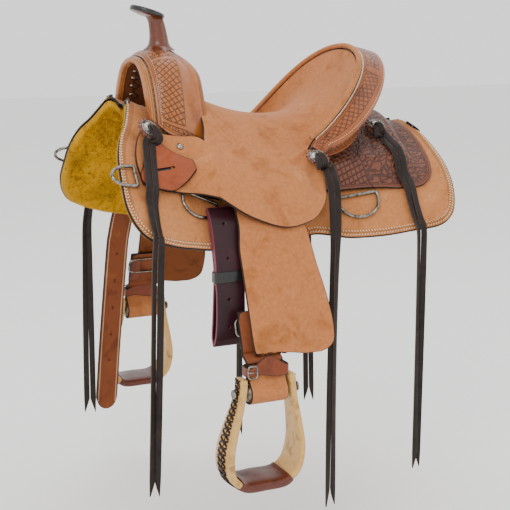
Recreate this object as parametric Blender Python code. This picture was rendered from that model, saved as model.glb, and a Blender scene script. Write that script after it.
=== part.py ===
"""Western saddle in metres, +Z up, -X towards the horn end, -Y the near (left) side.

The origin is on the centre plane, under the seat. Every leather layer is laid at its own height above
one master form, the horse's back, so that layers follow each other and never meet. A point of the form
is given by x, by s, the length down the side from the ridge, and by h, the height above the form.
Tables are in millimetres. MM turns them into metres when an object is made.
"""

import math

import bmesh
import bpy
import numpy as np
from mathutils import Matrix, Vector

MM = 0.001

# Leather and fleece
SKIRT_THICK = 5.0
FLEECE_THICK = 16.5
BAR_THICK = 24.5
SEAT_THICK = 5.0
JOCKEY_THICK = 4.5
COVER_THICK = 3.2
FENDER_THICK = 5.0
GAP = 0.4

# Fork, horn and cantle
HORN_CAP_RADIUS = 35.0
HORN_CAP_THICK = 10.0
HORN_TILT = 17.7
NECK_RADIUS = 17.0
BINDING_RADIUS = 5.5

# Fender, stirrup leather and stirrup
FENDER_LEAN = 20.1
FENDER_BOTTOM = -281.0
STRAP_WIDTH = 74.0
STIRRUP_X = -140.0
STIRRUP_Y = 346.0
BOLT_Z = -338.0
SPOOL_RADIUS = 16.0
STIRRUP_DEPTH = 75.0
STIRRUP_BAR = 14.0
STIRRUP_DROP = 172.0
STIRRUP_SKEW = 0.085

# Rings, conchos, strings and hanging straps
RING_WIRE = 3.4
DEE_WIRE = 3.2
CONCHO_RADIUS = 17.5
ROSETTE_RADIUS = 23.5
STRING_WIDTH = 12.7
STRING_THICK = 3.0
FRONT_STRING_END = -548.0
SEAT_STRING_END = -650.0
BACK_STRING_END = -595.0
BILLET_WIDTH = 50.0
BILLET_THICK = 6.0
BILLET_END = -550.0
LATIGO_WIDTH = 57.0
KEEPER_SLOT = 5.5

SPINE = [(-380, 226), (-330, 214), (-250, 176), (-150, 128), (-50, 102), (60, 92), (180, 98), (280, 110), (380, 122)]
TOP_SLOPE = [(-340, 50), (-150, 44), (0, 40), (180, 37), (360, 36)]
LOW_SLOPE = [(-340, 53), (-150, 60), (0, 62), (180, 60), (360, 56)]

LEATHER = {
    "roughout": ((0.62, 0.36, 0.20), 0.95),
    "tooled": ((0.40, 0.13, 0.04), 0.5),
    "jockey": ((0.30, 0.10, 0.04), 0.5),
    "fleece": ((0.68, 0.38, 0.01), 1.0),
    "wood": ((0.45, 0.30, 0.16), 0.7),
    "rawhide": ((0.60, 0.45, 0.24), 0.55),
    "burgundy": ((0.07, 0.01, 0.02), 0.5),
    "string": ((0.035, 0.025, 0.022), 0.7),
    "russet": ((0.33, 0.10, 0.03), 0.5),
    "tread": ((0.12, 0.03, 0.015), 0.3),
    "black": ((0.01, 0.01, 0.01), 0.5),
}


def clear_scene():
    for obj in list(bpy.data.objects):
        bpy.data.objects.remove(obj, do_unlink=True)


def material(name, key):
    made = bpy.data.materials.new(name)
    made.use_nodes = True
    shader = made.node_tree.nodes["Principled BSDF"]
    if key == "steel":
        colour, rough, metal = (0.62, 0.61, 0.58), 0.25, 1.0
    else:
        (colour, rough), metal = LEATHER[key], 0.0
    shader.inputs["Base Color"].default_value = (*colour, 1.0)
    shader.inputs["Roughness"].default_value = rough
    shader.inputs["Metallic"].default_value = metal
    return made


def add(name, points, faces, key, origin=(0.0, 0.0, 0.0)):
    """One closed object from points in millimetres, with its origin at a point in millimetres."""
    at = Vector(origin) * MM
    mesh = bpy.data.meshes.new(name)
    mesh.from_pydata([tuple(Vector([float(v) for v in p]) * MM - at) for p in points], [], faces)
    shape = bmesh.new()
    shape.from_mesh(mesh)
    bmesh.ops.remove_doubles(shape, verts=shape.verts, dist=0.00001)
    bmesh.ops.recalc_face_normals(shape, faces=shape.faces)
    if shape.calc_volume(signed=True) < 0:
        bmesh.ops.reverse_faces(shape, faces=shape.faces)
    shape.to_mesh(mesh)
    shape.free()
    mesh.materials.append(material(name, key))
    obj = bpy.data.objects.new(name, mesh)
    obj.location = at
    bpy.context.scene.collection.objects.link(obj)
    return obj


def smooth(t):
    t = max(0.0, min(1.0, t))
    return t * t * (3.0 - 2.0 * t)


def mix(a, b, t):
    return tuple(p + (q - p) * t for p, q in zip(a, b))


def spline(table, t):
    """A smooth curve through the table's points, each (t, value...)."""
    ts = [row[0] for row in table]
    values = np.array([row[1:] for row in table], float)
    if t <= ts[0]:
        return values[0]
    if t >= ts[-1]:
        return values[-1]
    i = min(max(k for k in range(len(ts)) if ts[k] <= t), len(ts) - 2)

    def slope(k):
        low, high = max(k - 1, 0), min(k + 1, len(ts) - 1)
        return (values[high] - values[low]) / (ts[high] - ts[low])

    step = ts[i + 1] - ts[i]
    u = (t - ts[i]) / step
    return (
        (2 * u**3 - 3 * u**2 + 1) * values[i]
        + (u**3 - 2 * u**2 + u) * step * slope(i)
        + (-2 * u**3 + 3 * u**2) * values[i + 1]
        + (u**3 - u**2) * step * slope(i + 1)
    )


def along(points, count, smoothed=True):
    """The points, joined by a smooth curve or straight lines, as count points spaced evenly by length."""
    points = [tuple(map(float, p)) for p in points]
    if smoothed:
        table = [(k, *p) for k, p in enumerate(points)]
        fine = np.array([spline(table, k / 12.0) for k in range(12 * (len(points) - 1) + 1)])
    else:
        fine = np.array(points)
    lengths = np.concatenate([[0.0], np.cumsum(np.linalg.norm(np.diff(fine, axis=0), axis=1))])
    wanted = np.linspace(0.0, lengths[-1], count)
    return [tuple(np.interp(w, lengths, fine[:, k]) for k in range(fine.shape[1])) for w in wanted]


def slope_at(x, s):
    top = float(spline(TOP_SLOPE, x)[0])
    low = float(spline(LOW_SLOPE, x)[0])
    return math.radians(top * smooth(s / 80.0) + (low - top) * smooth((s - 150.0) / 130.0))


def form(x, s, h=0.0, side=-1):
    """The point h above the form, at length s down the side from the ridge at x."""
    y, z, steps = 0.0, float(spline(SPINE, x)[0]), max(8, int(abs(s) / 6.0))
    step = s / steps
    for k in range(steps):
        a = slope_at(x, (k + 0.5) * step)
        y += math.cos(a) * step
        z -= math.sin(a) * step
    a = slope_at(x, s)
    return (x, side * (y + math.sin(a) * h), z + math.cos(a) * h)


def form_normal(x, s, side=-1):
    a = slope_at(x, s)
    return Vector((0.0, side * math.sin(a), math.cos(a)))


def shell(name, outer, inner, key, keep=None, origin=(0.0, 0.0, 0.0)):
    """A closed slab between two grids of points, with a wall round the cells that are kept."""
    rows, cols = len(outer), len(outer[0])
    points = [p for grid in (outer, inner) for row in grid for p in row]
    size = rows * cols
    cells = {
        (i, j) for i in range(rows - 1) for j in range(cols - 1) if keep is None or keep(i, j)
    }
    faces = []
    for i, j in sorted(cells):
        a, b, c, d = i * cols + j, i * cols + j + 1, (i + 1) * cols + j + 1, (i + 1) * cols + j
        faces.append((a, b, c, d))
        faces.append((d + size, c + size, b + size, a + size))
        for near, p, q in (((i - 1, j), b, a), ((i + 1, j), d, c), ((i, j - 1), a, d), ((i, j + 1), c, b)):
            if near not in cells:
                faces.append((p, q, q + size, p + size))
    used = sorted({v for face in faces for v in face})
    index = {v: k for k, v in enumerate(used)}
    return add(name, [points[v] for v in used], [tuple(index[v] for v in f) for f in faces], key, origin)


def panel(name, low, high, bottom, top, side, key, n, m, spread=1.0):
    """A leather piece between two edges given as (x, s), from height bottom to height top above the form."""
    low, high = along(low, n), along(high, n)
    outer, inner = [], []
    for p, q in zip(low, high):
        flat = [mix(p, q, 1.0 - (1.0 - k / (m - 1)) ** spread) for k in range(m)]
        outer.append([form(x, s, top(x, s), side) for x, s in flat])
        inner.append([form(x, s, bottom(x, s), side) for x, s in flat])
    return shell(name, outer, inner, key)


def loft(name, loops, key, origin=(0.0, 0.0, 0.0), closed=False):
    """A closed solid through loops of equal length, with caps unless the row of loops is closed."""
    n, rows = len(loops[0]), len(loops)
    points = [p for loop in loops for p in loop]
    faces = []
    for i in range(rows if closed else rows - 1):
        a, b = i * n, ((i + 1) % rows) * n
        faces += [(a + k, a + (k + 1) % n, b + (k + 1) % n, b + k) for k in range(n)]
    if not closed:
        faces.append(tuple(range(n))[::-1])
        faces.append(tuple(range((rows - 1) * n, rows * n)))
    return add(name, points, faces, key, origin)


def sleeve(name, outers, inners, key, origin=(0.0, 0.0, 0.0)):
    """A tube with its own inner wall, through outer loops and inner loops."""
    n, rows = len(outers[0]), len(outers)
    points = [p for loop in outers for p in loop] + [p for loop in inners for p in loop]
    size = rows * n
    faces = []
    for i in range(rows - 1):
        for k in range(n):
            a, b, c, d = i * n + k, i * n + (k + 1) % n, (i + 1) * n + (k + 1) % n, (i + 1) * n + k
            faces.append((a, b, c, d))
            faces.append((d + size, c + size, b + size, a + size))
    for k in range(n):
        a, b = k, (k + 1) % n
        faces.append((b, a, a + size, b + size))
        a, b = (rows - 1) * n + k, (rows - 1) * n + (k + 1) % n
        faces.append((a, b, b + size, a + size))
    return add(name, points, faces, key, origin)


def frames(path, closed=False):
    """At each point of a path: its tangent and two directions across it, turned as little as possible."""
    pts = [Vector(p) for p in path]
    n = len(pts)
    tangents = []
    for k in range(n):
        back = pts[k - 1] if closed or k else pts[k]
        ahead = pts[(k + 1) % n] if closed or k < n - 1 else pts[k]
        tangents.append((ahead - back).normalized())
    across = tangents[0].orthogonal().normalized()
    made = []
    for k in range(n):
        across = (across - tangents[k] * across.dot(tangents[k])).normalized()
        made.append((pts[k], tangents[k], across.copy(), tangents[k].cross(across)))
    return made


def tube(name, path, radius, key, sides=8, closed=False, origin=(0.0, 0.0, 0.0)):
    loops = []
    for p, _, u, v in frames(path, closed):
        loops.append(
            [p + (u * math.cos(2 * math.pi * k / sides) + v * math.sin(2 * math.pi * k / sides)) * radius
             for k in range(sides)]
        )
    return loft(name, loops, key, origin, closed)


def turned(name, profile, at, axis, key, sides=24, origin=None, hole=0.0):
    """A turned piece: (radius, height) pairs round an axis, closed on the axis or round a hole."""
    axis = Vector(axis).normalized()
    u = axis.orthogonal().normalized()
    v = axis.cross(u)
    at = Vector(at)

    def loop(r, h):
        return [
            at + axis * h + (u * math.cos(2 * math.pi * k / sides) + v * math.sin(2 * math.pi * k / sides)) * r
            for k in range(sides)
        ]

    loops = [loop(r, h) for r, h in profile]
    where = tuple(at) if origin is None else origin
    if hole:
        return sleeve(name, loops, [loop(hole, h) for _, h in profile], key, where)
    return loft(name, loops, key, where)


def ribbon(name, path, x0, x1, thick, key, origin):
    """A strap of even thickness that follows a path of (y, z) points, as wide as x0 to x1."""
    outer, inner = [], []
    for k, (y, z) in enumerate(path):
        y0, z0 = path[max(k - 1, 0)]
        y1, z1 = path[min(k + 1, len(path) - 1)]
        n = Vector((0.0, -(z1 - z0), y1 - y0)).normalized() * (thick / 2)
        outer.append([(x0, y + n.y, z + n.z), (x1, y + n.y, z + n.z)])
        inner.append([(x0, y - n.y, z - n.z), (x1, y - n.y, z - n.z)])
    return shell(name, outer, inner, key, origin=origin)


def cut(obj, cutter):
    cutter.hide_render = True
    cutter.display_type = "WIRE"
    mod = obj.modifiers.new("cut", "BOOLEAN")
    mod.operation = "DIFFERENCE"
    mod.solver = "EXACT"
    mod.object = cutter


def grid_normals(grid):
    """Unit normals of a grid of points, by differences along its rows and columns."""
    g = np.array(grid, float)
    return -np.cross(np.gradient(g, axis=0), np.gradient(g, axis=1)) / np.maximum(
        np.linalg.norm(np.cross(np.gradient(g, axis=0), np.gradient(g, axis=1)), axis=2, keepdims=True), 1e-9
    )


# Heights of the layers above the form

BAR_BOTTOM = SKIRT_THICK + GAP + 1.0
BAR_FRONT = 0.3  # the bar's tip under the fork, as a share of its full thickness


def bar_top(x, s=0.0):
    return BAR_BOTTOM + BAR_THICK * (BAR_FRONT + (1.0 - BAR_FRONT) * smooth((x + 205.0) / 70.0))


def over_bar(x):
    return bar_top(x) + 3.1


def front_height(x, s):
    """The underside of the front jockey: over the bar, then down on to the skirt, then lifting for the fender."""
    low = SKIRT_THICK + 1.8
    low += (over_bar(-262.0) - low) * (1.0 - smooth((s - 160.0) / 50.0))
    return low + (53.0 - low) * smooth((x + 258.0) / 84.0)


def rear_height(x, s):
    low = SKIRT_THICK + 1.4 + 4.4 * (1.0 - smooth((x - 200.0) / 40.0))
    return low + (over_bar(x) - low) * (1.0 - smooth((s - 152.0) / 45.0)) * (1.0 - smooth((x - 264.0) / 42.0))


def build_skirts(side, word):
    low = [(-298, 84), (-322, 135), (-341, 176), (-354, 223), (-359, 277), (-360, 325), (-349, 362), (-327, 383),
           (-280, 377), (-220, 357), (-160, 334), (-100, 316), (-40, 301), (0, 291), (33, 285), (72, 292),
           (103, 301), (168, 310), (235, 315), (303, 319), (337, 304), (354, 274), (364, 229), (367, 160), (360, 95),
           (345, 62)]
    low[0] = (-298, 62)
    high = [(-292, 14), (-262, 14), (-215, 24), (-120, 30), (0, 30), (150, 30), (255, 26), (310, 14), (338, 16)]


    def dip(x, s):
        """How far the skirts sag between the bars in front, under the fork's opening."""
        return 32.0 * (1.0 - smooth(s / 82.0)) * (1.0 - smooth((x + 288.0) / 80.0))

    panel(f"skirt_{word}", low, high, lambda x, s: -dip(x, s), lambda x, s: SKIRT_THICK - dip(x, s), side,
          "roughout", 25, 7, 1.25)
    top = -GAP - 3.8
    panel(f"fleece_{word}", low, high, lambda x, s: top - FLEECE_THICK - dip(x, s), lambda x, s: top - 0.4 - 1.7 * dip(x, s),
          side, "fleece", 21, 6, 1.25)


def build_bars(side, word):
    low = [(-264, 146), (-240, 158), (-180, 156), (-120, 150), (60, 150), (200, 146), (258, 116)]
    high = [(-264, 114), (-240, 102), (-190, 96), (-130, 60), (60, 44), (200, 44), (258, 70)]
    panel(f"tree_bar_{word}", low, high, lambda x, s: BAR_BOTTOM, bar_top, side, "wood", 13, 6)


def build_rear_jockeys(side, word):
    low = [(70, 150), (76, 186), (92, 201), (130, 205), (173, 210), (238, 222), (284, 228), (312, 216), (326, 192),
           (335, 142), (332, 86), (318, 44)]
    high = [(78, 112), (110, 60), (160, 34), (220, 26), (270, 24), (302, 26)]
    panel(f"rear_jockey_{word}", low, high, rear_height, lambda x, s: rear_height(x, s) + JOCKEY_THICK, side,
          "jockey", 15, 7)


def build_keeper():
    low = [(-322, 252), (-321, 268), (-306, 273), (-288, 270), (-262, 262), (-243, 246), (-226, 228), (-212, 210)]
    high = [(-312, 232), (-304, 205), (-298, 180), (-290, 160), (-279, 152), (-268, 166), (-245, 178), (-214, 192)]
    keeper = panel("latigo_keeper_near", low, high, lambda x, s: front_height(x, s) + SEAT_THICK + 4.4,
          lambda x, s: front_height(x, s) + SEAT_THICK + 8.0, -1, "russet", 13, 8)
    ends = [Vector(form(x, s, front_height(x, s) + SEAT_THICK + 6.2, -1)) for x, s in ((-296, 236), (-250, 209))]
    way = (ends[1] - ends[0]).normalized()
    out = form_normal(-273, 222, -1)
    out = (out - way * out.dot(way)).normalized()
    wide = way.cross(out) * (KEEPER_SLOT / 2)
    corners = [end + out * h + wide * w for end in ends for w, h in ((-1, -9), (1, -9), (1, 9), (-1, 9))]
    faces = [(0, 1, 2, 3), (7, 6, 5, 4)] + [(k, k + 4, (k + 1) % 4 + 4, (k + 1) % 4) for k in range(4)]
    cut(keeper, add("cut_keeper", corners, faces, "black"))


def build_rigging(side, word):
    low = [(-236, 222), (-228, 234), (-205, 238), (-150, 232), (-60, 212), (40, 200), (100, 198), (185, 192)]
    high = [(-236, 182), (-226, 170), (-198, 166), (-150, 164), (-60, 164), (40, 164), (100, 166), (185, 172)]
    panel(f"rigging_plate_{word}", low, high, lambda x, s: BAR_BOTTOM, lambda x, s: BAR_BOTTOM + 3.6, side,
          "russet", 14, 3)
    dee(f"front_ring_{word}", side, [(-240, 246), (-166, 246)], 42.0, RING_WIRE, front=False)
    dee(f"rear_dee_{word}", side, [(92, 218), (184, 218)], 49.0, DEE_WIRE, front=False)
    dee(f"breast_dee_{word}", side, [(-330, 234), (-330, 276)], 47.0, DEE_WIRE, front=True)


def dee(name, side, bar, reach, wire, front):
    """A dee lying on the skirt: a straight bar, and a bow that reaches down from it or forward of it."""
    (x0, s0), (x1, s1) = bar
    height = SKIRT_THICK + GAP + wire + 1.8
    flat = [(x0, s0), (x1, s1)]
    middle, half = ((x0 + x1) / 2, (s0 + s1) / 2), math.hypot(x1 - x0, s1 - s0) / 2
    bow = 12
    for k in range(1, bow):
        a = math.pi * k / bow
        out = reach * math.sin(a) ** 0.75
        if front:
            flat.append((x0 - out, middle[1] + half * math.cos(a)))
        else:
            flat.append((middle[0] + half * math.cos(a), s0 + out))
    a, b = (Vector(form(x, s, height, side)) for x, s in bar)
    centre = (a + b) / 2
    along_bar = (b - a).normalized()
    normal = form_normal(middle[0], middle[1], side)
    normal = (normal - along_bar * normal.dot(along_bar)).normalized()
    out = along_bar.cross(normal)
    far = Vector(form(middle[0] - (reach if front else 0), middle[1] + (0 if front else reach), height, side)) - centre
    if out.dot(far) < 0:
        out = -out
    out = (far - along_bar * far.dot(along_bar)).normalized()
    path = []
    for x, s in flat:
        across = (s - middle[1]) if front else (x - middle[0])
        down = (x0 - x) if front else (s - s0)
        path.append(centre + along_bar * across + out * down)
    tube(name, path, wire, "steel", 6, True, origin=tuple(centre))


# Fork: loops round its body at stations along the arch, each point on its own curve

FORK_STATIONS = 15
FORK_CURVES = {
    "gullet": [(0.0, 0, 250), (0.2, 27, 245), (0.42, 50, 231), (0.62, 66, 206), (0.82, 76, 176), (1.0, 84, 154)],
    "bead": [(0.0, 0, 265), (0.2, 38, 260), (0.42, 71, 242), (0.62, 95, 208), (0.82, 110, 164), (1.0, 119, 126)],
    "crown": [(0.0, 0, 277), (0.2, 42, 272), (0.42, 80, 252), (0.62, 106, 212), (0.82, 121, 160), (1.0, 128, 118)],
    "rear": [(0.0, 0, 273), (0.2, 37, 260), (0.42, 68, 233), (0.62, 92, 196), (0.82, 112, 152), (1.0, 124, 120)],
}


def fork_point(t, curve, x, lift=0.0):
    """A point of the fork at station t from -1, the near foot, to 1, the off foot."""
    u = abs(t)
    y, z = spline(FORK_CURVES[curve], u)
    z -= 0.42 * (x + 232.0) * smooth((u - 0.45) / 0.55)
    if x > -200.0:
        x -= 18.0 * (1.0 - smooth(u / 0.45))
    scale = 1.0 + lift / 160.0
    return (x, math.copysign(1.0, t) * y * scale, 110.0 + (z - 110.0) * scale)


FORK_LOOP = [  # curve, x, lift: from the rear rim, under the arch to the front roll, and back over the crown
    ("rear", -166.0, -6.0), ("gullet", -171.0, 3.0), ("gullet", -215.0, 0.0), ("gullet", -258.0, 0.0),
    ("gullet", -272.0, 6.0), ("bead", -270.0, -4.0), ("bead", -262.0, 0.0), ("bead", -260.0, 1.2),
    ("crown", -240.0, 0.0), ("crown", -206.0, 1.0), ("rear", -176.0, 3.5), ("rear", -166.0, 0.0),
]


def build_fork():
    stations = [-1.0 + 2.0 * k / (FORK_STATIONS - 1) for k in range(FORK_STATIONS)]
    grid = np.array([[fork_point(t, *p) for p in FORK_LOOP] for t in stations])
    ring = np.concatenate([grid[:, -1:], grid, grid[:, :1]], axis=1)
    down = np.gradient(grid, axis=0)
    round_ = ring[:, 2:] - ring[:, :-2]
    normal = np.cross(down, round_)
    normal /= np.linalg.norm(normal, axis=2, keepdims=True)
    centre = grid.mean(axis=1, keepdims=True)
    if ((grid - centre) * normal).sum() < 0:
        normal = -normal
    skin = grid - normal * COVER_THICK
    wood = grid - normal * (COVER_THICK + 3.0)
    core = wood.copy()
    core[0] = wood[0] + (wood[1] - wood[0]) * 0.08
    core[-1] = wood[-1] + (wood[-2] - wood[-1]) * 0.08
    loft("tree_fork", [list(map(tuple, loop)) for loop in core], "wood")
    shell("gullet_liner", grid[:, 1:7].tolist(), skin[:, 1:7].tolist(), "tooled")
    shell("swell_cover", grid[:, 7:].tolist(), skin[:, 7:].tolist(), "tooled")


def build_horn():
    tilt = math.radians(HORN_TILT)
    axis = Vector((math.sin(tilt), 0.0, math.cos(tilt)))
    cap = Vector((-236.0, 0.0, 344.0))
    r = HORN_CAP_RADIUS
    turned("horn_cap", [(r - 12, 0), (r - 4.5, 2.0), (r - 3.4, 4.5), (r - 3.4, HORN_CAP_THICK - 1.5),
                        (r - 5, HORN_CAP_THICK)], cap, axis, "tooled", 22)
    turned("horn_cap_binding", [(r - 0.8, 1.6), (r, 3.6), (r, HORN_CAP_THICK - 1.4), (r - 1.0, HORN_CAP_THICK - 0.2)],
           cap, axis, "black", 22, hole=r - 3.0)
    rings, cores = [], []
    rows = [(279.0, -211, 27), (283, -211, 23.5), (291, -211, 20), (303, -211.5, NECK_RADIUS + 1.2),
            (319, -213.5, NECK_RADIUS), (334.0, -217, NECK_RADIUS - 0.5)]
    for k, (z, x, radius) in enumerate(rows):
        lean = 0.319 if k == len(rows) - 1 else (0.12 if k == len(rows) - 2 else 0.0)

        def at(radius, a, x=x, z=z, lean=lean):
            dx = radius * math.cos(a)
            return (x + dx, radius * math.sin(a), z - lean * dx)

        angles = [2 * math.pi * j / 16 for j in range(16)]
        rings.append([at(radius, a) for a in angles])
        cores.append([at(9.0, a) for a in angles])
    sleeve("horn_neck_cover", rings, cores, "tooled", (-211.0, 0.0, 279.0))
    post = [[(x + (px - x) * 0.94, py * 0.94, pz) for px, py, pz in loop]
            for (z, x, _), loop in zip(rows, cores)]
    loft("horn_core", post, "steel", (-211.0, 0.0, 279.0))


# Cantle: stations round the rim from the near end (-1) to the off end (1)

CANTLE_STATIONS = 17
RIM = dict(x=40.6, reach=167.4, wide=169.4, z=105.8, high=175.0, px=0.57, pz=0.69)
OUTER = dict(x=69.0, reach=199.0, wide=182.7, z=91.0, high=177.0, px=0.55, pz=0.93)
BASE = dict(x=75.0, reach=130.0, wide=166.0, z=66.0, high=75.0, px=0.55, pz=1.0)


def arc(curve, t):
    a = t * math.pi / 2
    c = max(math.cos(a), 0.0)
    return np.array([
        curve["x"] + curve["reach"] * c ** curve["px"],
        curve["wide"] * math.sin(a),
        curve["z"] + curve["high"] * c ** curve["pz"],
    ])


def cantle_station(k):
    t = -1.0 + 2.0 * k / (CANTLE_STATIONS - 1)
    return math.copysign(1.0, t) * (1.0 - (1.0 - abs(t)) ** 1.25) if t else 0.0


def build_cantle():
    rows = []
    for k in range(CANTLE_STATIONS):
        t = cantle_station(k)
        rim, outer, base = arc(RIM, t), arc(OUTER, t), arc(BASE, t)
        c = math.cos(t * math.pi / 2)
        out = (outer - rim) / np.linalg.norm(outer - rim)
        rows.append([
            rim + out * (BINDING_RADIUS + 2.0),
            rim * 0.62 + outer * 0.38 + np.array([0, 0, 3.0]),
            rim * 0.25 + outer * 0.75 + np.array([0, 0, 2.5]),
            outer,
            outer + np.array([-6.0, 0, -12.0]),
            outer * 0.6 + base * 0.4 + np.array([-14.0 * c, 0, 0]),
            outer * 0.25 + base * 0.75 + np.array([-10.0 * c, 0, 0]),
            base,
        ])
    grid = np.array(rows)
    normal = grid_normals(grid)
    if normal[CANTLE_STATIONS // 2, 2][2] < 0:
        normal = -normal
    skin = grid - normal * COVER_THICK
    shell("cantle_back_cover", grid.tolist(), skin.tolist(), "tooled")
    wood = []
    for k in range(1, CANTLE_STATIONS - 1):
        t = cantle_station(k)
        c = math.cos(t * math.pi / 2)
        inner = [grid[k, j] - normal[k, j] * (COVER_THICK + 1.2) for j in range(8)]
        inner[0] = inner[0] * 0.9 + inner[1] * 0.1
        foot = inner[-1] + np.array([-10.0 * c, 0, 1.0])
        neck = inner[0] * 0.45 + inner[-1] * 0.55 + np.array([-6.0 * c, 0, 0])
        wood.append([tuple(p) for p in inner] + [tuple(foot), tuple(neck)])
    loft("tree_cantle", wood, "wood")
    path = []
    for k in range(CANTLE_STATIONS):
        t = cantle_station(k)
        path.append(tuple(arc(RIM, t)))
    tube("cantle_binding", path, BINDING_RADIUS, "tooled", 8)


# Seat leather: columns from the ridge outwards, each a curve from front to back

def seat_columns(side):
    def on(x, s, h):
        return form(x, s, h, side)

    def at(x, y, z):
        return (x, side * -y, z)

    def rim(t, below):
        """The leather's end, square to the binding, on the way down to the point below it."""
        near, p, past = (Vector(arc(RIM, v)) for v in (t - 0.02, t, t + 0.02))
        way = Vector((below[0], below[1] * side, below[2])) - p
        run = (past - near).normalized()
        way = (way - run * way.dot(run)).normalized()
        p = p + way * (BINDING_RADIUS + 2.4)
        return (p.x, side * p.y, p.z)

    thick = SEAT_THICK

    def jock(x, s):
        return form(x, s, front_height(x, s) + thick, side)

    body = [
        [at(-164, 0, 196), at(-110, 0, 170), at(-40, 0, 150), at(35, 0, 143), at(100, 0, 154), at(155, 0, 191), rim(0, at(155, 0, 191))],
        [on(-163, 40, 60), on(-110, 40, 55), on(-40, 40, 51), on(35, 40, 51), at(98, -60, 146), at(150, -62, 184), rim(0.245, at(150, -62, 184))],
        [on(-162, 76, 57), on(-110, 80, 55), on(-40, 80, 52), on(33, 80, 53), at(88, -111, 116), at(134, -116, 162), rim(0.5, at(134, -112, 162))],
        [on(-162, 108, 55), on(-110, 120, 55), on(-40, 120, 53), on(28, 120, 54), at(74, -140, 92), at(104, -149, 132), rim(0.73, at(104, -140, 132))],
        [on(-164, 138, 56), on(-110, 160, 57), on(-45, 160, 56), on(5, 158, 56), at(24, -169, 64), at(35, -168, 80), at(42, -166, 93)],
        [jock(-168, 160), on(-111, 181, 58), on(-47, 184, 58), on(4, 180, 57), at(25, -178, 58), at(38, -177, 71), at(47, -176, 82)],
        [jock(-171, 184), on(-113, 206, 60), on(-48, 210, 60), on(4, 203, 58), at(27, -187, 50), at(41, -186, 60), at(51, -184, 70)],
        [jock(-174, 219), on(-120, 246, 62), on(-52, 252, 62), on(2, 240, 59), at(32, -206, 18), at(47, -205, 28), at(57, -200, 42)],
        [jock(-182, 258), on(-126, 280, 63), on(-58, 291, 64), on(2, 274, 61), on(30, 254, 56), on(46, 236, 52), on(57, 214, 46)],
    ]
    arms = {
        4: [jock(-291, 138), jock(-262, 136), jock(-228, 134), jock(-194, 134)],
        5: [jock(-302, 156), jock(-265, 162), jock(-229, 162), jock(-196, 160)],
        6: [jock(-314, 184), jock(-269, 190), jock(-230, 190), jock(-199, 188)],
        7: [jock(-321, 222), jock(-273, 226), jock(-234, 224), jock(-204, 222)],
        8: [jock(-317, 268), jock(-276, 263), jock(-240, 256), jock(-210, 256)],
    }
    return body, arms


def build_seat():
    body_rows, arm_rows = 13, 8
    columns = {}
    for side in (-1, 1):
        body, arms = seat_columns(side)
        for j in range(9):
            fine = along(body[j], body_rows)
            if j >= 4:
                fine = along(arms[j] + [body[j][0]], arm_rows)[:-1] + fine
            else:
                fine = [fine[0]] * (arm_rows - 1) + fine
            columns[side * -j if side == -1 else -j] = fine
    keys = sorted(columns, reverse=True)
    outer = [[columns[key][i] for key in keys] for i in range(len(columns[0]))]
    grid = np.array(outer, float)
    normal = grid_normals(grid)
    for i in range(arm_rows - 1):
        for j in range(grid.shape[1]):
            if abs(keys[j]) < 4:
                normal[i, j] = normal[arm_rows - 1, j]
    for i in range(arm_rows - 1):
        for j in range(grid.shape[1]):
            if abs(keys[j]) == 4:
                near = j - 1 if keys[j] > 0 else j + 1
                normal[i, j] = normal[i, near]
    if normal[arm_rows + 2, 8][2] < 0:
        normal = -normal
    inner = grid - normal * SEAT_THICK

    def keep(i, j):
        return i >= arm_rows - 1 or min(abs(keys[j]), abs(keys[j + 1])) >= 4

    shell("seat_leather", grid.tolist(), inner.tolist(), "roughout", keep)
    top = grid - normal * (SEAT_THICK + 3.0)
    low = grid - normal * (SEAT_THICK + 5.5)
    span = range(arm_rows + 1, len(outer) - 4)
    middle = [j for j in range(len(keys)) if abs(keys[j]) <= 2]
    shell("ground_seat", [[tuple(top[i, j]) for j in middle] for i in span],
          [[tuple(low[i, j]) for j in middle] for i in span], "wood")


# Fender: an upper strap from the bar, then a flat leaning plane

def fender_y(z):
    return 254.0 + (-50.0 - z) * math.tan(math.radians(FENDER_LEAN))


def hinge_at(side):
    return form(-112.0, 150.0, bar_top(-112.0) + 8.5, side)


def build_fender(side, word):
    hinge = Vector(hinge_at(side))
    lean = math.radians(FENDER_LEAN)
    face = Vector((0.0, side * math.cos(lean), math.sin(lean)))
    top = Vector(form(-112.0, 126.0, bar_top(-112.0) + 10.5, side))
    knee = Vector((-112.0, side * fender_y(-50.0), -50.0))
    rows = [
        (top, -32, 34), (hinge, -33, 36), (hinge.lerp(knee, 0.45), -34, 40), (hinge.lerp(knee, 0.8), -36, 70),
        (knee, -40, 97),
    ]
    for z, left, right in [(-85, -45, 105), (-125, -45, 111), (-170, -45, 120), (-215, -45, 126), (-245, -45, 126),
                           (FENDER_BOTTOM + 17, -44, 120), (FENDER_BOTTOM + 11, -42, 112), (FENDER_BOTTOM, -38, 90)]:
        rows.append((Vector((-112.0, side * fender_y(z), z)), left, right))
    outer, inner = [], []
    rise = [11.5, 11.0, 7.5, 1.5, 1.0]
    down = Vector((0.0, side * math.sin(lean), -math.cos(lean)))
    for k, (p, left, right) in enumerate(rows):
        if k == 0:
            n = form_normal(-112.0, 126.0, side)
        else:
            d = (rows[min(k + 1, len(rows) - 1)][0] - rows[k - 1][0]).normalized()
            n = Vector((0.0, side * abs(d.z), abs(d.y)))
        n = n.normalized() * (FENDER_THICK / 2)
        stops = [left + (right - left) * j / 4 for j in range(5)]
        last = 1.0 if k == len(rows) - 1 else (0.25 if k == len(rows) - 2 else 0.0)
        at = [p + Vector((w, 0, 0)) - down * (r * last) for w, r in zip(stops, rise)]
        outer.append([tuple(q + n) for q in at])
        inner.append([tuple(q - n) for q in at])
    shell(f"fender_{word}", outer, inner, "roughout", origin=tuple(hinge))
    return hinge, face


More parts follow.
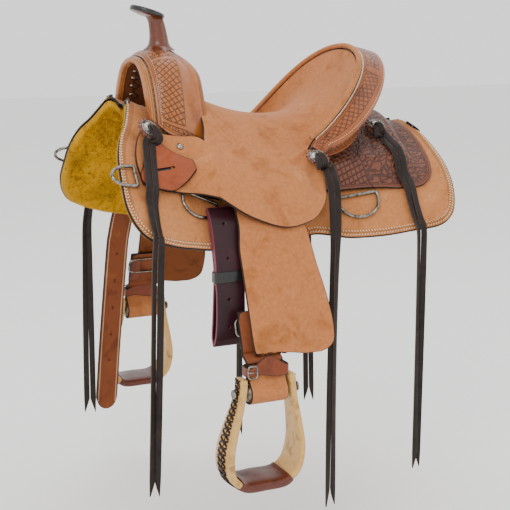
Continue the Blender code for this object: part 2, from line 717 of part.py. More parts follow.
def build_stirrup(side, word):
    hinge, face = build_fender(side, word)
    y0, z0 = STIRRUP_Y, BOLT_Z
    half = STRAP_WIDTH / 2
    behind = FENDER_THICK / 2 / math.cos(math.radians(FENDER_LEAN)) + 0.8
    sides = 18
    thick = 5.5
    loop_r = SPOOL_RADIUS + 1.0 + thick / 2
    round_spool = [(y0 + loop_r * math.sin(a), z0 - loop_r * math.cos(a))
                   for a in (math.radians(118 - 236 * k / sides) for k in range(sides + 1))]
    neck = FENDER_BOTTOM - 24.0
    bend = FENDER_BOTTOM + 13.0
    top = -196.0
    path = [(y0 + 4.2, neck + 19), (y0 + 4.2, neck - 3), (y0 + 9.0, neck - 13.0), *round_spool,
            (y0 - 9.0, neck - 13.0), (y0 - 4.4, neck - 3), (y0 - 4.4, neck + 19), (y0 - 11.0, bend - 11.0),
            (fender_y(bend) - behind - 8.5, bend - 3.0), (fender_y(bend + 10) - behind - 5.8, bend + 10.0),
            (fender_y(top) - behind - 5.8, top)]
    ribbon(f"stirrup_leather_{word}", [(side * y, z) for y, z in path], STIRRUP_X - half, STIRRUP_X + half, thick,
           "roughout", tuple(hinge))
    # Post buckle on the inner face of the stirrup leather
    z = -226.0
    mid = Vector((STIRRUP_X, side * (fender_y(z) - behind - 5.8 - thick / 2 - 2.8), z))
    up = Vector((0.0, -side * math.sin(math.radians(FENDER_LEAN)), math.cos(math.radians(FENDER_LEAN))))
    flat = []
    for k in range(20):
        a = 2 * math.pi * k / 20
        cx, cz = math.cos(a), math.sin(a)
        flat.append((math.copysign(abs(cx) ** 0.6, cx), math.copysign(abs(cz) ** 0.6, cz)))
    n = face * 1.7
    around = [(43.0, 20.0, -1), (43.0, 20.0, 1)]
    outers = [[tuple(mid + Vector((a * w, 0, 0)) + up * (b * h) + n * f) for a, b in flat] for w, h, f in around]
    inners = [[tuple(mid + Vector((a * (w - 8), 0, 0)) + up * (b * (h - 8)) + n * f) for a, b in flat]
              for w, h, f in around]
    sleeve(f"leather_buckle_{word}", outers, inners, "steel", tuple(hinge))
    # Hobble strap: a flat band round the stirrup leather, above the stirrup
    low, high = FENDER_BOTTOM - 24.0, FENDER_BOTTOM - 5.5
    def band(w, d, z, tip=0.0):
        ring = [(-w, -d + 3), (-w + 3, -d), (w - 3, -d), (w, -d + 3), (w, d - 3), (w - 3, d), (-w + 3, d), (-w, d - 3)]
        return [(STIRRUP_X + a, side * (y0 + b), z) for a, b in ring]
    sleeve(f"hobble_strap_{word}", [band(half + 4.0, 13.6, low), band(half + 4.0, 13.6, high)],
           [band(half + 0.8, 10.4, low), band(half + 0.8, 10.4, high)], "russet", tuple(hinge))
    # Hobble buckle: a small square frame on the outer face of the hobble strap
    bz, bw, bh = (low + high) / 2, 11.0, 9.5
    wire = 1.6
    corners = []
    for k in range(16):
        a = 2 * math.pi * (k + 0.5) / 16
        cx, cz = math.cos(a), math.sin(a)
        corners.append((STIRRUP_X - 24 + bw * math.copysign(abs(cx) ** 0.5, cx),
                        side * (y0 + 13.6 + wire + GAP), bz + bh * math.copysign(abs(cz) ** 0.5, cz)))
    tube(f"hobble_buckle_{word}", corners, wire, "steel", 6, True, origin=tuple(hinge))
    # Stirrup
    drop = STIRRUP_DROP
    centre_line = [(48.5, 26), (50, 6), (55, -24), (64, -0.36 * drop), (71, -0.57 * drop), (71.5, -0.73 * drop),
                   (65, -0.88 * drop), (50, -0.965 * drop), (34, -drop), (0, -drop)]
    depth = [34, 34, 40, 54, 66, 72, STIRRUP_DEPTH, STIRRUP_DEPTH, STIRRUP_DEPTH, STIRRUP_DEPTH]
    line = [(-a, b, d) for (a, b), d in zip(centre_line, depth)] + [
        (a, b, d) for (a, b), d in zip(centre_line[-2::-1], depth[-2::-1])]
    line = [(a + STIRRUP_SKEW * min(b, 0.0), b, d) for a, b, d in line]

    def bar_loops(line, grow, out_only=0.0):
        loops = []
        for k, (a, b, d) in enumerate(line):
            before, after = line[max(k - 1, 0)], line[min(k + 1, len(line) - 1)]
            t = Vector((after[0] - before[0], 0, after[1] - before[1])).normalized()
            n = Vector((-t.z, 0, t.x))
            p = Vector((STIRRUP_X + a, side * y0, z0 + b))
            w, e = d / 2 + grow, STIRRUP_BAR / 2 + grow
            loop = []
            for u, v in ((-w, -e + 4), (-w + 4, -e), (w - 4, -e), (w, -e + 4), (w, e - 3), (w - 3, e), (-w + 3, e), (-w, e - 3)):
                loop.append(tuple(p + Vector((0, u, 0)) + n * v))
            loops.append(loop)
        return loops
    pivot = (STIRRUP_X, side * y0, z0)
    frame = loft(f"stirrup_frame_{word}", bar_loops(line, 0.0), "rawhide", pivot)
    hole = turned(f"cut_{word}", [(5.6, -80), (5.6, 80)], pivot, (1, 0, 0), "black", 16)
    cut(frame, hole)
    sub = [k for k, p in enumerate(line) if p[1] <= -0.94 * drop]
    outers, inners = bar_loops(line, 4.0), bar_loops(line, 0.6)
    sleeve(f"stirrup_tread_{word}", [outers[k] for k in sub], [inners[k] for k in sub], "tread", pivot)
    turned(f"stirrup_bolt_{word}", [(9, -68), (9, -62.4), (5.2, -62.2), (5.2, -41), (SPOOL_RADIUS, -40.6),
                                    (SPOOL_RADIUS, 40.6), (5.2, 41), (5.2, 62.2), (9, 62.4), (9, 68)],
           pivot, (1, 0, 0), "steel", 16)


def build_concho(name, x, s, h, side, at=None):
    if at is None:
        centre = Vector(form(x, s, h, side))
        run = Vector(form(x + 12.0, s, h, side)) - Vector(form(x - 12.0, s, h, side))
        n = run.cross(Vector(form(x, s + 12.0, h, side)) - Vector(form(x, s - 12.0, h, side)))
        n = n if n.z > 0 else -n
    else:
        centre, n = Vector((at[0], side * at[1], at[2])), form_normal(x, s, side)
    turned(name, [(ROSETTE_RADIUS, 0), (ROSETTE_RADIUS, 3.0), (CONCHO_RADIUS, 3.05), (CONCHO_RADIUS, 4.6),
                  (CONCHO_RADIUS * 0.6, 7.4)], centre, n, "steel", 16)
    return centre, n


def build_strings(name, start, waist, hang, end, side, foot):
    """Two flat tails that leave a concho side by side, lie on the leather to its edge, then hang straight."""
    half, gap = STRING_WIDTH / 2, 1.6
    keys = [start, *waist, hang]
    path = [Vector((p[0], side * p[1], p[2])) for p in keys]
    lies = [Vector((18.0, side * p[3], p[4])) if len(p) > 3 else Vector((1.0, 0.0, 0.0)) for p in keys]
    lies += [Vector((1.0, 0.0, 0.0))] * 4
    steps = 4
    bottom = Vector((foot[0], side * foot[1], end))
    for k in range(1, steps + 1):
        path.append(path[len(waist) + 1].lerp(bottom, k / steps))
    outer, inner = [], []
    for k, p in enumerate(path):
        ahead, back = path[min(k + 1, len(path) - 1)], path[max(k - 1, 0)]
        t = (ahead - back).normalized()
        across = (lies[k] - t * lies[k].dot(t)).normalized()
        n = across.cross(t)
        if n.y * side < 0:
            n = -n
        spots = [-2 * half - gap / 2, -gap / 2, gap / 2, 2 * half + gap / 2]
        outer.append([tuple(p + across * w + n * STRING_THICK) for w in spots])
        inner.append([tuple(p + across * w) for w in spots])
    shell(name, outer, inner, "string", keep=lambda i, j: j != 1 or i == 0)


LATIGO_PATH = [  # z, inner face's y, thickness
    (-12, 204, 10), (-20, 209.5, 12), (-35, 220, 15), (-50, 227, 17), (-80, 240, 17), (-112, 252, 16), (-124, 255, 15),
    (-146, 257, 15), (-165, 258, 20), (-215, 259, 25), (-248, 259, 23), (-265, 263, 12),
]


def latigo_at(z):
    inner, thick = spline([(-row[0], row[1], row[2]) for row in LATIGO_PATH], -z)
    return -171.0 - (-16.0 - z) * 0.05, float(inner), float(thick)


def build_latigo():
    loops = []
    w = LATIGO_WIDTH / 2
    for z, _, _ in LATIGO_PATH:
        x, y, thick = latigo_at(z)
        loops.append([(x - w, -y, z), (x + w, -y, z), (x + w, -(y + thick), z), (x - w, -(y + thick), z)])
    hinge = (-178.0, -203.0, -20.0)
    loft("latigo_near", loops, "burgundy", hinge)
    outs, ins = [], []
    for z in (-125.0, -145.0):
        x, y, thick = latigo_at(z)
        for grow, made in ((3.6, outs), (1.0, ins)):
            made.append([(x - w - grow, -(y - grow), z), (x + w + grow, -(y - grow), z),
                         (x + w + grow, -(y + thick + grow), z), (x - w - grow, -(y + thick + grow), z)])
    sleeve("latigo_band_near", outs, ins, "black", hinge)


def build_billet():
    path = [(-200.0, 226.0, -30.0), (-205.0, 244.0, -66.0), (-210.0, 259.0, -100.0), (-216.0, 267.0, -140.0),
            (-221.0, 270.0, -180.0), (-240.0, 272.0, -370.0), (-252.0, 272.0, BILLET_END + 46),
            (-254.0, 272.0, BILLET_END + 20), (-255.5, 272.0, BILLET_END + 6), (-256.0, 272.0, BILLET_END)]
    half = [BILLET_WIDTH * w for w in (0.5, 0.5, 0.5, 0.5, 0.5, 0.5, 0.5, 0.43, 0.29, 0.12)]
    outer, inner = [], []
    for k, (p, w) in enumerate(zip(path, half)):
        p = Vector(p)
        t = (Vector(path[min(k + 1, len(path) - 1)]) - Vector(path[max(k - 1, 0)])).normalized()
        across = (Vector((1, 0, 0)) - t * t.x).normalized()
        n = t.cross(across)
        n = n if n.y > 0 else -n
        outer.append([tuple(p + across * (w * j / 2) + n * (BILLET_THICK / 2)) for j in range(-2, 3)])
        inner.append([tuple(p + across * (w * j / 2) - n * (BILLET_THICK / 2)) for j in range(-2, 3)])
    strap = shell("off_billet", outer, inner, "russet", origin=path[0])
    points, faces = [], []
    for k in range(5):
        z = -186.0 - 62.0 * k
        f = (-180.0 - z) / 190.0
        x, y = -221.0 - 19.0 * f, 270.0 + 2.0 * min(f, 1.0)
        base = len(points)
        for yy in (y - 14, y + 14):
            points += [(x + 3.2 * math.cos(a), yy, z + 3.2 * math.sin(a))
                       for a in (2 * math.pi * j / 8 for j in range(8))]
        faces += [(base + j, base + (j + 1) % 8, base + 8 + (j + 1) % 8, base + 8 + j) for j in range(8)]
        faces += [tuple(base + j for j in range(8))[::-1], tuple(base + 8 + j for j in range(8))]
    cut(strap, add("cut_billet", points, faces, "black"))


def build_fittings(side, word):
    """The conchos and, from under each one, its pair of strings."""
    lift = STRING_THICK + 2.6

    def laid(keys, height, count):
        """Points above the leather along keys of (x, s), each with the way across it there."""
        made = []
        for x, s in along(keys, count):
            p, fore, aft = (form(v, s, height(v, s), 1) for v in (x, x - 9.0, x + 9.0))
            made.append((*p, aft[1] - fore[1], aft[2] - fore[2]))
        return made

    def on_front(x, s):
        base = front_height(x, s) + SEAT_THICK
        return base + 9.2 + (10.5 - base - 9.2) * smooth((s - 279.0) / 24.0)

    x, s = -285.0, 150.0
    drift = 0.0 if side < 0 else 32.0
    build_concho(f"concho_front_{word}", x, s, front_height(x, s) + SEAT_THICK + lift + 7.4, side)
    waist = laid([(-287, 156), (-297, 215), (-308 + drift * 0.5, 290), (-316 + drift, 386)], on_front, 12)
    last = waist[-1]
    build_strings(f"strings_front_{word}", waist[0], waist[1:], (-320.0 + drift, last[1] + 3.0, last[2] - 45.0),
                  FRONT_STRING_END, side, (-330.0 + drift, last[1] - 12.0))
    seat = Vector((45.5, 189.2, 64.5))
    build_concho(f"concho_seat_{word}", 30, 165, 0, side, at=tuple(seat + Vector((0, 0.72, 0.69)) * (lift + 0.6)))
    waist = [(60.0, 205.0, 52.0), (66.0, 215.0, 26.0), (69.0, 221.0, -4.0), (70.0, 224.0, -50.0),
             (69.0, 228.0, -90.0)]
    build_strings(f"strings_seat_{word}", tuple(seat + Vector((2.0, 1.4, 1.3))), waist, (67.0, 231.0, -140.0),
                  SEAT_STRING_END, side, (64.0, 228.0))

    def on_rear(x, s):
        base = rear_height(x, s) + JOCKEY_THICK + 2.9
        return base + (9.5 - base) * smooth((s - 234.0) / 30.0)

    x, s = 232.0, 82.0
    build_concho(f"concho_back_{word}", x, s, rear_height(x, s) + JOCKEY_THICK + lift + 2.0, side)
    waist = laid([(234, 88), (248, 150), (256, 210), (257, 318)], on_rear, 12)
    last = waist[-1]
    build_strings(f"strings_back_{word}", waist[0], waist[1:], (256.0, last[1] + 3.0, last[2] - 45.0),
                  BACK_STRING_END, side, (261.0, last[1] - 4.0))


def main():
    clear_scene()
    build_fork()
    build_horn()
    build_cantle()
    build_seat()
    build_keeper()
    build_latigo()
    build_billet()
    for side, word in ((-1, "near"), (1, "off")):
        build_skirts(side, word)
        build_bars(side, word)
        build_rear_jockeys(side, word)
        build_rigging(side, word)
        build_stirrup(side, word)
        build_fittings(side, word)


main()
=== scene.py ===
"""Western saddle: the visual model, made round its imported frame.

Lengths are in millimetres until a mesh is made. A point of the leathers is given on the form that every
layer follows: x along the horse, s down the side from the ridge, and h above the form.
"""

from __future__ import annotations

import logging
import math
from dataclasses import dataclass, field
from enum import Enum
from functools import partial
from typing import Callable, Optional, Sequence, Union

import bmesh
import bpy
import numpy as np
from bpy.types import Material, Mesh, Node, NodeSocket, NodeTree, Object
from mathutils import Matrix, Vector
from mathutils.kdtree import KDTree
from mathutils.noise import fractal

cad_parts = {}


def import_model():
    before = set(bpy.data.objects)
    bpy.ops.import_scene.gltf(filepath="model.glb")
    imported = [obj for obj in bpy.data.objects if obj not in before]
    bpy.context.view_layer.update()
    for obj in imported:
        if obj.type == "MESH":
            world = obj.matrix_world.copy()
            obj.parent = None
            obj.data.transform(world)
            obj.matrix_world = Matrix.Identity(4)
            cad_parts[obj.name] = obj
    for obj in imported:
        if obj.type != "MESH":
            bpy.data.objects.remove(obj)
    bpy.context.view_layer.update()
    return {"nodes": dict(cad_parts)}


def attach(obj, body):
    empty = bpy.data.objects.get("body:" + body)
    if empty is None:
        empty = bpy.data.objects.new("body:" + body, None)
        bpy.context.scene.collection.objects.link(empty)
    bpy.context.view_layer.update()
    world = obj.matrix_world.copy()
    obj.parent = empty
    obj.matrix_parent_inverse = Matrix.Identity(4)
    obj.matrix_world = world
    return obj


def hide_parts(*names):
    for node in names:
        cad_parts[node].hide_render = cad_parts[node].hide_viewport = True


LOG = logging.getLogger("saddle")
MM = 0.001
Points = np.ndarray
Way = tuple[float, float, float]
# A point this far inside its piece's cut edge, in millimetres, shows nothing of the edge.
WELL_INSIDE = 60.0


class Side(Enum):
    """The rider's left and right."""

    NEAR = -1
    OFF = 1

    @property
    def word(self) -> str:
        """The side's word in the frame's names."""
        return self.name.lower()


class Tooling(Enum):
    """What is stamped or carved into a leather's face."""

    PLAIN = "plain"
    STAMPED = "stamped"
    BORDER = "border"
    ROLL = "roll"


# Node and colour helpers


def linear(hex_colour: str) -> tuple[float, float, float, float]:
    """Turn an sRGB hex colour into linear RGBA.

    Args:
        hex_colour: six hex digits.

    Returns:
        The colour with an alpha of one.
    """
    parts = [int(hex_colour[k : k + 2], 16) / 255 for k in (0, 2, 4)]
    rgb = [c / 12.92 if c <= 0.04045 else ((c + 0.055) / 1.055) ** 2.4 for c in parts]
    return (rgb[0], rgb[1], rgb[2], 1.0)


def add_node(
    tree: NodeTree,
    kind: str,
    inputs: Optional[dict] = None,
    stops: Optional[Sequence[tuple[float, Union[str, float]]]] = None,
    **settings: object,
) -> Node:
    """Add one node with its settings, values and links.

    Args:
        tree: the material's tree.
        kind: the node's type, without its common first part.
        inputs: input name or index to a value, or to the socket that feeds it.
        stops: a ramp's stops, each a place and a hex colour or a grey.
        settings: the node's own properties.

    Returns:
        The node.
    """
    made = tree.nodes.new(f"ShaderNode{kind}")
    for key, value in settings.items():
        setattr(made, key, value)
    if stops:
        elements = made.color_ramp.elements
        while len(elements) < len(stops):
            elements.new(0.5)
        for element, (place, colour) in zip(elements, stops):
            element.position = place
            element.color = linear(colour) if isinstance(colour, str) else (colour, colour, colour, 1.0)
    feed(tree, made, inputs or {})
    return made


def feed(tree: NodeTree, node: Node, inputs: dict) -> None:
    """Set a node's own inputs, and link those that another node feeds.

    Args:
        tree: the material's tree.
        node: the node.
        inputs: input name or index to a value, or to the socket that feeds it.
    """
    for key, value in inputs.items():
        if isinstance(value, NodeSocket):
            tree.links.new(value, node.inputs[key])
        else:
            node.inputs[key].default_value = value


def show(thing: Object) -> None:
    """Put an object into the scene."""
    bpy.context.scene.collection.objects.link(thing)


class Finish:
    """A finish builds its material once, and hands it to every piece that wears it."""

    made: dict[str, Material] = {}

    def material(self) -> Material:
        """Hand over the finish's material, made the first time it is asked for.

        Returns:
            The material.
        """
        if self.name not in Finish.made:
            made = bpy.data.materials.new(self.name)
            made.use_nodes = True
            self.dress(made.node_tree, made.node_tree.nodes["Principled BSDF"])
            Finish.made[self.name] = made
        return Finish.made[self.name]


@dataclass(frozen=True)
class Leather(Finish):
    """Vegetable-tanned cowhide, smooth side or flesh side out, with its dyed and burnished cut edge."""

    name: str
    base: str
    deep: str
    light: str
    edge: str = "2b1a12"
    roughness: float = 0.6
    nap: float = 0.0
    gloss: float = 0.0
    tooling: Tooling = Tooling.PLAIN
    relief_mm: float = 0.5
    patch_mm: float = 55.0
    edge_mm: float = 1.6
    turn: float = 0.5
    shine: float = 0.4

    def dress(self, tree: NodeTree, shader: Node) -> None:
        """Set the shader and its textures.

        Args:
            tree: the material's tree.
            shader: its Principled shader.
        """
        add = partial(add_node, tree)
        place = add("TexCoord")
        space, flat = place.outputs["Object"], place.outputs["UV"]
        # Hide takes dye unevenly: clouds tens of millimetres wide, and a fine mottle inside them.
        clouds = add("TexNoise", {"Vector": space, "Scale": 1000 / self.patch_mm,
                                  "Detail": 5.0, "Roughness": 0.62, "Distortion": 0.6})
        tone = add("ValToRGB", {0: clouds.outputs[0]},
                   [(0.3, self.deep), (0.47, self.base), (0.6, self.base), (0.78, self.light)])
        colour = tone.outputs[0]
        mottle = add("TexNoise", {"Vector": space, "Scale": 1000 / 7.0, "Detail": 4.0, "Roughness": 0.7})
        fleck = add("ValToRGB", {0: mottle.outputs[0]}, [(0.32, 0.72 if self.nap else 0.84), (0.62, 1.0)])
        colour = add("Mix", {0: 0.75, 6: colour, 7: fleck.outputs[0]}, data_type="RGBA",
                     blend_type="MULTIPLY").outputs[2]
        # Real grain and nap are under a millimetre: drawn at 2.2 mm so that they show.
        grain = add("TexNoise" if self.nap else "TexVoronoi", {"Vector": space, "Scale": 1000 / 2.2})
        height = add("Math", {0: grain.outputs[0], 1: 0.10 + 0.12 * self.nap},
                     operation="MULTIPLY").outputs[0]
        rim = add("Attribute", attribute_name="edge").outputs["Fac"]
        if self.tooling is not Tooling.PLAIN:
            relief, colour = self.tool(tree, flat, rim, colour)
            height = add("Math", {0: height, 1: 0.6, 2: relief}, operation="MULTIPLY_ADD").outputs[0]
        cut = add("MapRange", {"Value": rim, "From Min": self.edge_mm * 0.45, "From Max": self.edge_mm})
        colour = add("Mix", {0: cut.outputs[0], 6: linear(self.edge), 7: colour}, data_type="RGBA").outputs[2]
        bump = add("Bump", {"Height": height, "Strength": 0.8, "Distance": self.relief_mm * MM * 2})
        worn = add("MapRange", {"Value": clouds.outputs[0], "From Min": 0.3, "From Max": 0.7,
                                "To Min": self.roughness + 0.08, "To Max": self.roughness - 0.08})
        feed(tree, shader, {"Base Color": colour, "Normal": bump.outputs[0], "Roughness": worn.outputs[0],
                            "IOR": 1.48, "Specular IOR Level": self.shine})
        if self.nap:
            feed(tree, shader, {"Sheen Weight": 0.12 * self.nap, "Sheen Roughness": 0.5})
        if self.gloss:
            feed(tree, shader, {"Coat Weight": self.gloss, "Coat Roughness": 0.22})

    def tool(
        self, tree: NodeTree, flat: NodeSocket, rim: NodeSocket,
        colour: NodeSocket,
    ) -> tuple[NodeSocket, NodeSocket]:
        """Stamp or carve the face, inside two cut lines that follow its edge.

        Args:
            tree: the material's tree.
            flat: the flat layout, in metres.
            rim: the distance from the cut edge, in millimetres.
            colour: the leather's colour so far.

        Returns:
            The relief and the antiqued colour.
        """
        add = partial(add_node, tree)
        turned = add("Mapping", {"Vector": flat, "Rotation": (0.0, 0.0, self.turn)})
        # A basket stamp is about 5 by 9 mm: drawn with 10 mm strands, over and under, so that each one shows.
        strand = 0.010
        ways = add("SeparateXYZ", {0: turned.outputs[0]})
        humps = []
        for k in (0, 1):
            phase = add("Math", {0: ways.outputs[k], 1: math.pi / strand}, operation="MULTIPLY")
            wave = add("Math", {0: phase.outputs[0]}, operation="SINE")
            humps.append(add("Math", {0: wave.outputs[0]}, operation="ABSOLUTE").outputs[0])
        over = add("TexChecker", {"Vector": turned.outputs[0], "Scale": 1 / strand})
        woven = add("Mix", {0: over.outputs["Fac"], 6: humps[0], 7: humps[1]}, data_type="RGBA")
        other = add("Mix", {0: over.outputs["Fac"], 6: humps[1], 7: humps[0]}, data_type="RGBA")
        body = add("ValToRGB", {0: woven.outputs[2]}, [(0.05, 0.0), (0.55, 0.9), (1.0, 1.0)])
        sides = add("ValToRGB", {0: other.outputs[2]}, [(0.12, 0.0), (0.34, 1.0)])
        basket = add("Math", {0: body.outputs[0], 1: sides.outputs[0]}, operation="MULTIPLY").outputs[0]
        # Carved scrolls are 5 to 8 mm apart, and each flower is about 25 mm.
        scroll = add("TexWave", {"Vector": flat, "Scale": 30.0, "Distortion": 8.0,
                                 "Detail": 1.2, "Detail Scale": 2.1,
                                 "Detail Roughness": 0.4}, wave_type="RINGS")
        petals = add("TexVoronoi", {"Vector": flat, "Scale": 1000 / 22.0}, feature="DISTANCE_TO_EDGE")
        petal = add("ValToRGB", {0: petals.outputs[0]}, [(0.0, 0.0), (0.09, 1.0)])
        line = add("ValToRGB", {0: scroll.outputs[0]}, [(0.06, 0.0), (0.3, 0.85), (1.0, 1.0)])
        carved = add("Math", {0: petal.outputs[0], 1: line.outputs[0]}, operation="MULTIPLY").outputs[0]
        far = add("Math", {0: rim, 1: 0.025}, operation="MULTIPLY").outputs[0]
        lines = {
            Tooling.STAMPED: [(0.0, 1.0), (0.13, 1.0), (0.15, 0.0), (0.17, 1.0), (0.22, 1.0), (0.24, 0.0),
                              (0.27, 1.0)],
            Tooling.BORDER: [(0.0, 1.0), (0.1, 1.0), (0.14, 0.45), (0.36, 0.45), (0.4, 1.0)],
            Tooling.ROLL: [(0.0, 1.0), (0.09, 1.0), (0.11, 0.0), (0.135, 1.0), (0.19, 1.0), (0.21, 0.0),
                           (0.235, 1.0)],
        }[self.tooling]
        relief = add("ValToRGB", {0: far}, lines).outputs[0]
        if self.tooling is Tooling.STAMPED:
            inside = add("MapRange", {"Value": far, "From Min": 0.25, "From Max": 0.3}).outputs[0]
            for kind, face in (("basket", basket), ("floral", carved)):
                worked = add("Attribute", attribute_name=kind).outputs["Fac"]
                share = add("Math", {0: worked, 1: inside}, operation="MULTIPLY").outputs[0]
                filled = add("ValToRGB", {0: share}, [(0.48, 0.0), (0.55, 1.0)]).outputs[0]
                stamped = add("Mix", {0: filled, 6: (1, 1, 1, 1), 7: face}, data_type="RGBA").outputs[2]
                bound = add("ValToRGB", {0: worked},
                            [(0.15, 1.0), (0.3, 0.0), (0.42, 0.0), (0.55, 1.0)]).outputs[0]
                for layer in (stamped, bound):
                    relief = add("Mix", {0: 1.0, 6: relief, 7: layer}, data_type="RGBA",
                                 blend_type="MULTIPLY").outputs[2]
        # Antique paste stays in the cuts.
        antique = add("ValToRGB", {0: relief}, [(0.0, 0.26), (0.75, 1.0)])
        colour = add("Mix", {0: 0.9, 6: colour, 7: antique.outputs[0]}, data_type="RGBA",
                     blend_type="MULTIPLY").outputs[2]
        return relief, colour


@dataclass(frozen=True)
class Wool(Finish):
    """Dyed sheepskin: locks some 12 mm across, with painted shade at their roots and in broad patches."""

    name: str
    base: str
    shaded_root: str
    tip: str

    def dress(self, tree: NodeTree, shader: Node) -> None:
        """Set the shader and its textures.

        Args:
            tree: the material's tree.
            shader: its Principled shader.
        """
        add = partial(add_node, tree)
        space = add("TexCoord").outputs["Object"]
        locks = add("TexNoise", {"Vector": space, "Scale": 1000 / 22.0, "Detail": 5.0,
                                 "Roughness": 0.68, "Distortion": 1.2})
        # Painted shade: the low parts of the lock noise take the dark root colour, as shade between the
        # locks.
        tone = add("ValToRGB", {0: locks.outputs[0]},
                   [(0.3, self.shaded_root), (0.45, self.base), (0.66, self.base), (0.8, self.tip)])
        # Painted shade: broad patches of the pile are darkened, like pile that lies away from the light.
        lay = add("TexNoise", {"Vector": space, "Scale": 1000 / 70.0, "Detail": 2.0})
        shade = add("ValToRGB", {0: lay.outputs[0]}, [(0.34, 0.62), (0.56, 1.0)])
        colour = add("Mix", {0: 0.8, 6: tone.outputs[0], 7: shade.outputs[0]},
                     data_type="RGBA", blend_type="MULTIPLY")
        fibre = add("TexNoise", {"Vector": space, "Scale": 1000 / 2.5, "Detail": 3.0})
        bump = add("Bump", {"Height": fibre.outputs[0], "Strength": 0.9, "Distance": 0.0016})
        feed(tree, shader, {"Base Color": colour.outputs[2], "Normal": bump.outputs[0], "Roughness": 0.95,
                            "Sheen Weight": 0.08, "Sheen Roughness": 0.45, "Specular IOR Level": 0.1})


@dataclass(frozen=True)
class Metal(Finish):
    """Nickel-plated or plain steel wire and castings, with random darker patches: fine wear and dirt, and on
    the nickel painted dark reflections too.
    """

    name: str
    base: str
    dull_and_dark_reflection: str
    roughness: float = 0.24
    engraved: bool = False

    def dress(self, tree: NodeTree, shader: Node) -> None:
        """Set the shader and its textures.

        Args:
            tree: the material's tree.
            shader: its Principled shader.
        """
        add = partial(add_node, tree)
        space = add("TexCoord").outputs["Object"]
        stain_and_reflection = add("TexNoise", {"Vector": space, "Scale": 1000 / 9.0, "Detail": 4.0})
        # Random patches of the darker colour: wear and dirt, and on the nickel also painted dark reflections.
        tone = add("ValToRGB", {0: stain_and_reflection.outputs[0]}, [(0.36, self.dull_and_dark_reflection), (0.55, self.base)])
        wear = add("MapRange", {"Value": stain_and_reflection.outputs[0], "From Min": 0.3, "From Max": 0.7,
                                "To Min": self.roughness + 0.14, "To Max": self.roughness})
        feed(tree, shader, {"Base Color": tone.outputs[0], "Roughness": wear.outputs[0], "Metallic": 1.0})
        if self.engraved:
            # Engraving cuts are about 0.4 mm: drawn at 2.5 mm so that they show.
            cuts = add("TexVoronoi", {"Vector": space, "Scale": 1000 / 2.5})
            bump = add("Bump", {"Height": cuts.outputs[0], "Strength": 0.6, "Distance": 0.0005})
            feed(tree, shader, {"Normal": bump.outputs[0]})


@dataclass(frozen=True)
class Timber(Finish):
    """Bare sawn pine of the tree, under the leather."""

    name: str
    base: str
    ring: str

    def dress(self, tree: NodeTree, shader: Node) -> None:
        """Set the shader and its textures.

        Args:
            tree: the material's tree.
            shader: its Principled shader.
        """
        add = partial(add_node, tree)
        space = add("TexCoord").outputs["Object"]
        rings = add("TexWave", {"Vector": space, "Scale": 30.0, "Distortion": 3.0,
                                "Detail": 2.0}, bands_direction="Z")
        tone = add("ValToRGB", {0: rings.outputs[0]}, [(0.2, self.base), (0.9, self.ring)])
        feed(tree, shader, {"Base Color": tone.outputs[0], "Roughness": 0.8})


# Cowhide with its flesh side out, sanded: a dry, even nap with soft clouds and no gloss.
ROUGHOUT = Leather("roughout_cowhide", "b06e40", "97592b", "c08152", edge="26150d", roughness=0.95, nap=1.0,
                   shine=0.15)
# The same nap on heavy skirting, pressed flat in a band along its blackened cut edge.
SKIRTING = Leather("roughout_skirting", "b47444", "9a5d30", "c48556", edge="160c08", roughness=0.95, nap=1.0,
                   tooling=Tooling.BORDER, edge_mm=2.6, shine=0.15)
# Hand-tooled and waxed: warm russet that shines on the high spots, dark paste in the cuts.
SWELL = Leather("hand_tooled_russet", "9c5722", "733a13", "b57235", edge="221109", roughness=0.36, gloss=0.2,
                tooling=Tooling.STAMPED, relief_mm=1.5, turn=0.6)
# Stamped and handled more than the swell: redder, and glossier.
BACK = Leather("stamped_cantle_russet", "8f4a1b", "6b330e", "a7652a", edge="221109", roughness=0.34,
               gloss=0.25, tooling=Tooling.STAMPED, relief_mm=1.4, turn=0.5)
# Carved and dyed a shade darker: its pattern reads as fine dark lines.
JOCKEY = Leather("carved_dark_russet", "66321a", "4a2210", "7c4429", edge="140a06", roughness=0.42,
                 gloss=0.15, tooling=Tooling.STAMPED, relief_mm=1.4, turn=0.25)
# Moulded wet over a roll: bare but for two cut lines that follow its edge.
ROLL = Leather("rolled_russet", "a9652a", "87491a", "ba793d", edge="5c3114", roughness=0.42, gloss=0.2,
               tooling=Tooling.ROLL, relief_mm=0.7)
# Pasted inside the gullet: dyed deep brown as painted shade, and almost matt.
GULLET_SHADE = Leather("gullet_lining_leather", "5c3011", "3e1f09", "754318", edge="221109", roughness=0.6,
                 gloss=0.05)
# Shrunk wet on to the horn and oiled: dark, tight and glossy.
NECK = Leather("oiled_neck_leather", "5c2910", "421a08", "76391b", edge="221109", roughness=0.28, gloss=0.3,
               patch_mm=35.0)
# Smooth strap sides, finished plain: orange-brown with a dull gleam.
RUSSET = Leather("smooth_russet", "8c401c", "702f10", "9f502a", edge="1c0d06", roughness=0.55, shine=0.3)
# Harness leather, stuffed with oil: heavy brown and dull.
BILLET = Leather("oiled_harness_leather", "71391a", "57290f", "885024", edge="160b06", roughness=0.65,
                 shine=0.25)
# The inner face of a fender: brown and fuzzy, dyed darker than its outer face, partly as painted shade.
INNER_FACE_AND_SHADE = Leather("brown_inner_face_and_shade", "6c3813", "4f260a", "834a1c", edge="221109", roughness=0.75, shine=0.25)
# Oiled and slicked by hand: deep red-brown with a soft gleam.
STRAP = Leather("oiled_russet_strap", "70300d", "531f07", "88401c", edge="1a0b06", roughness=0.42, gloss=0.12,
                shine=0.3)
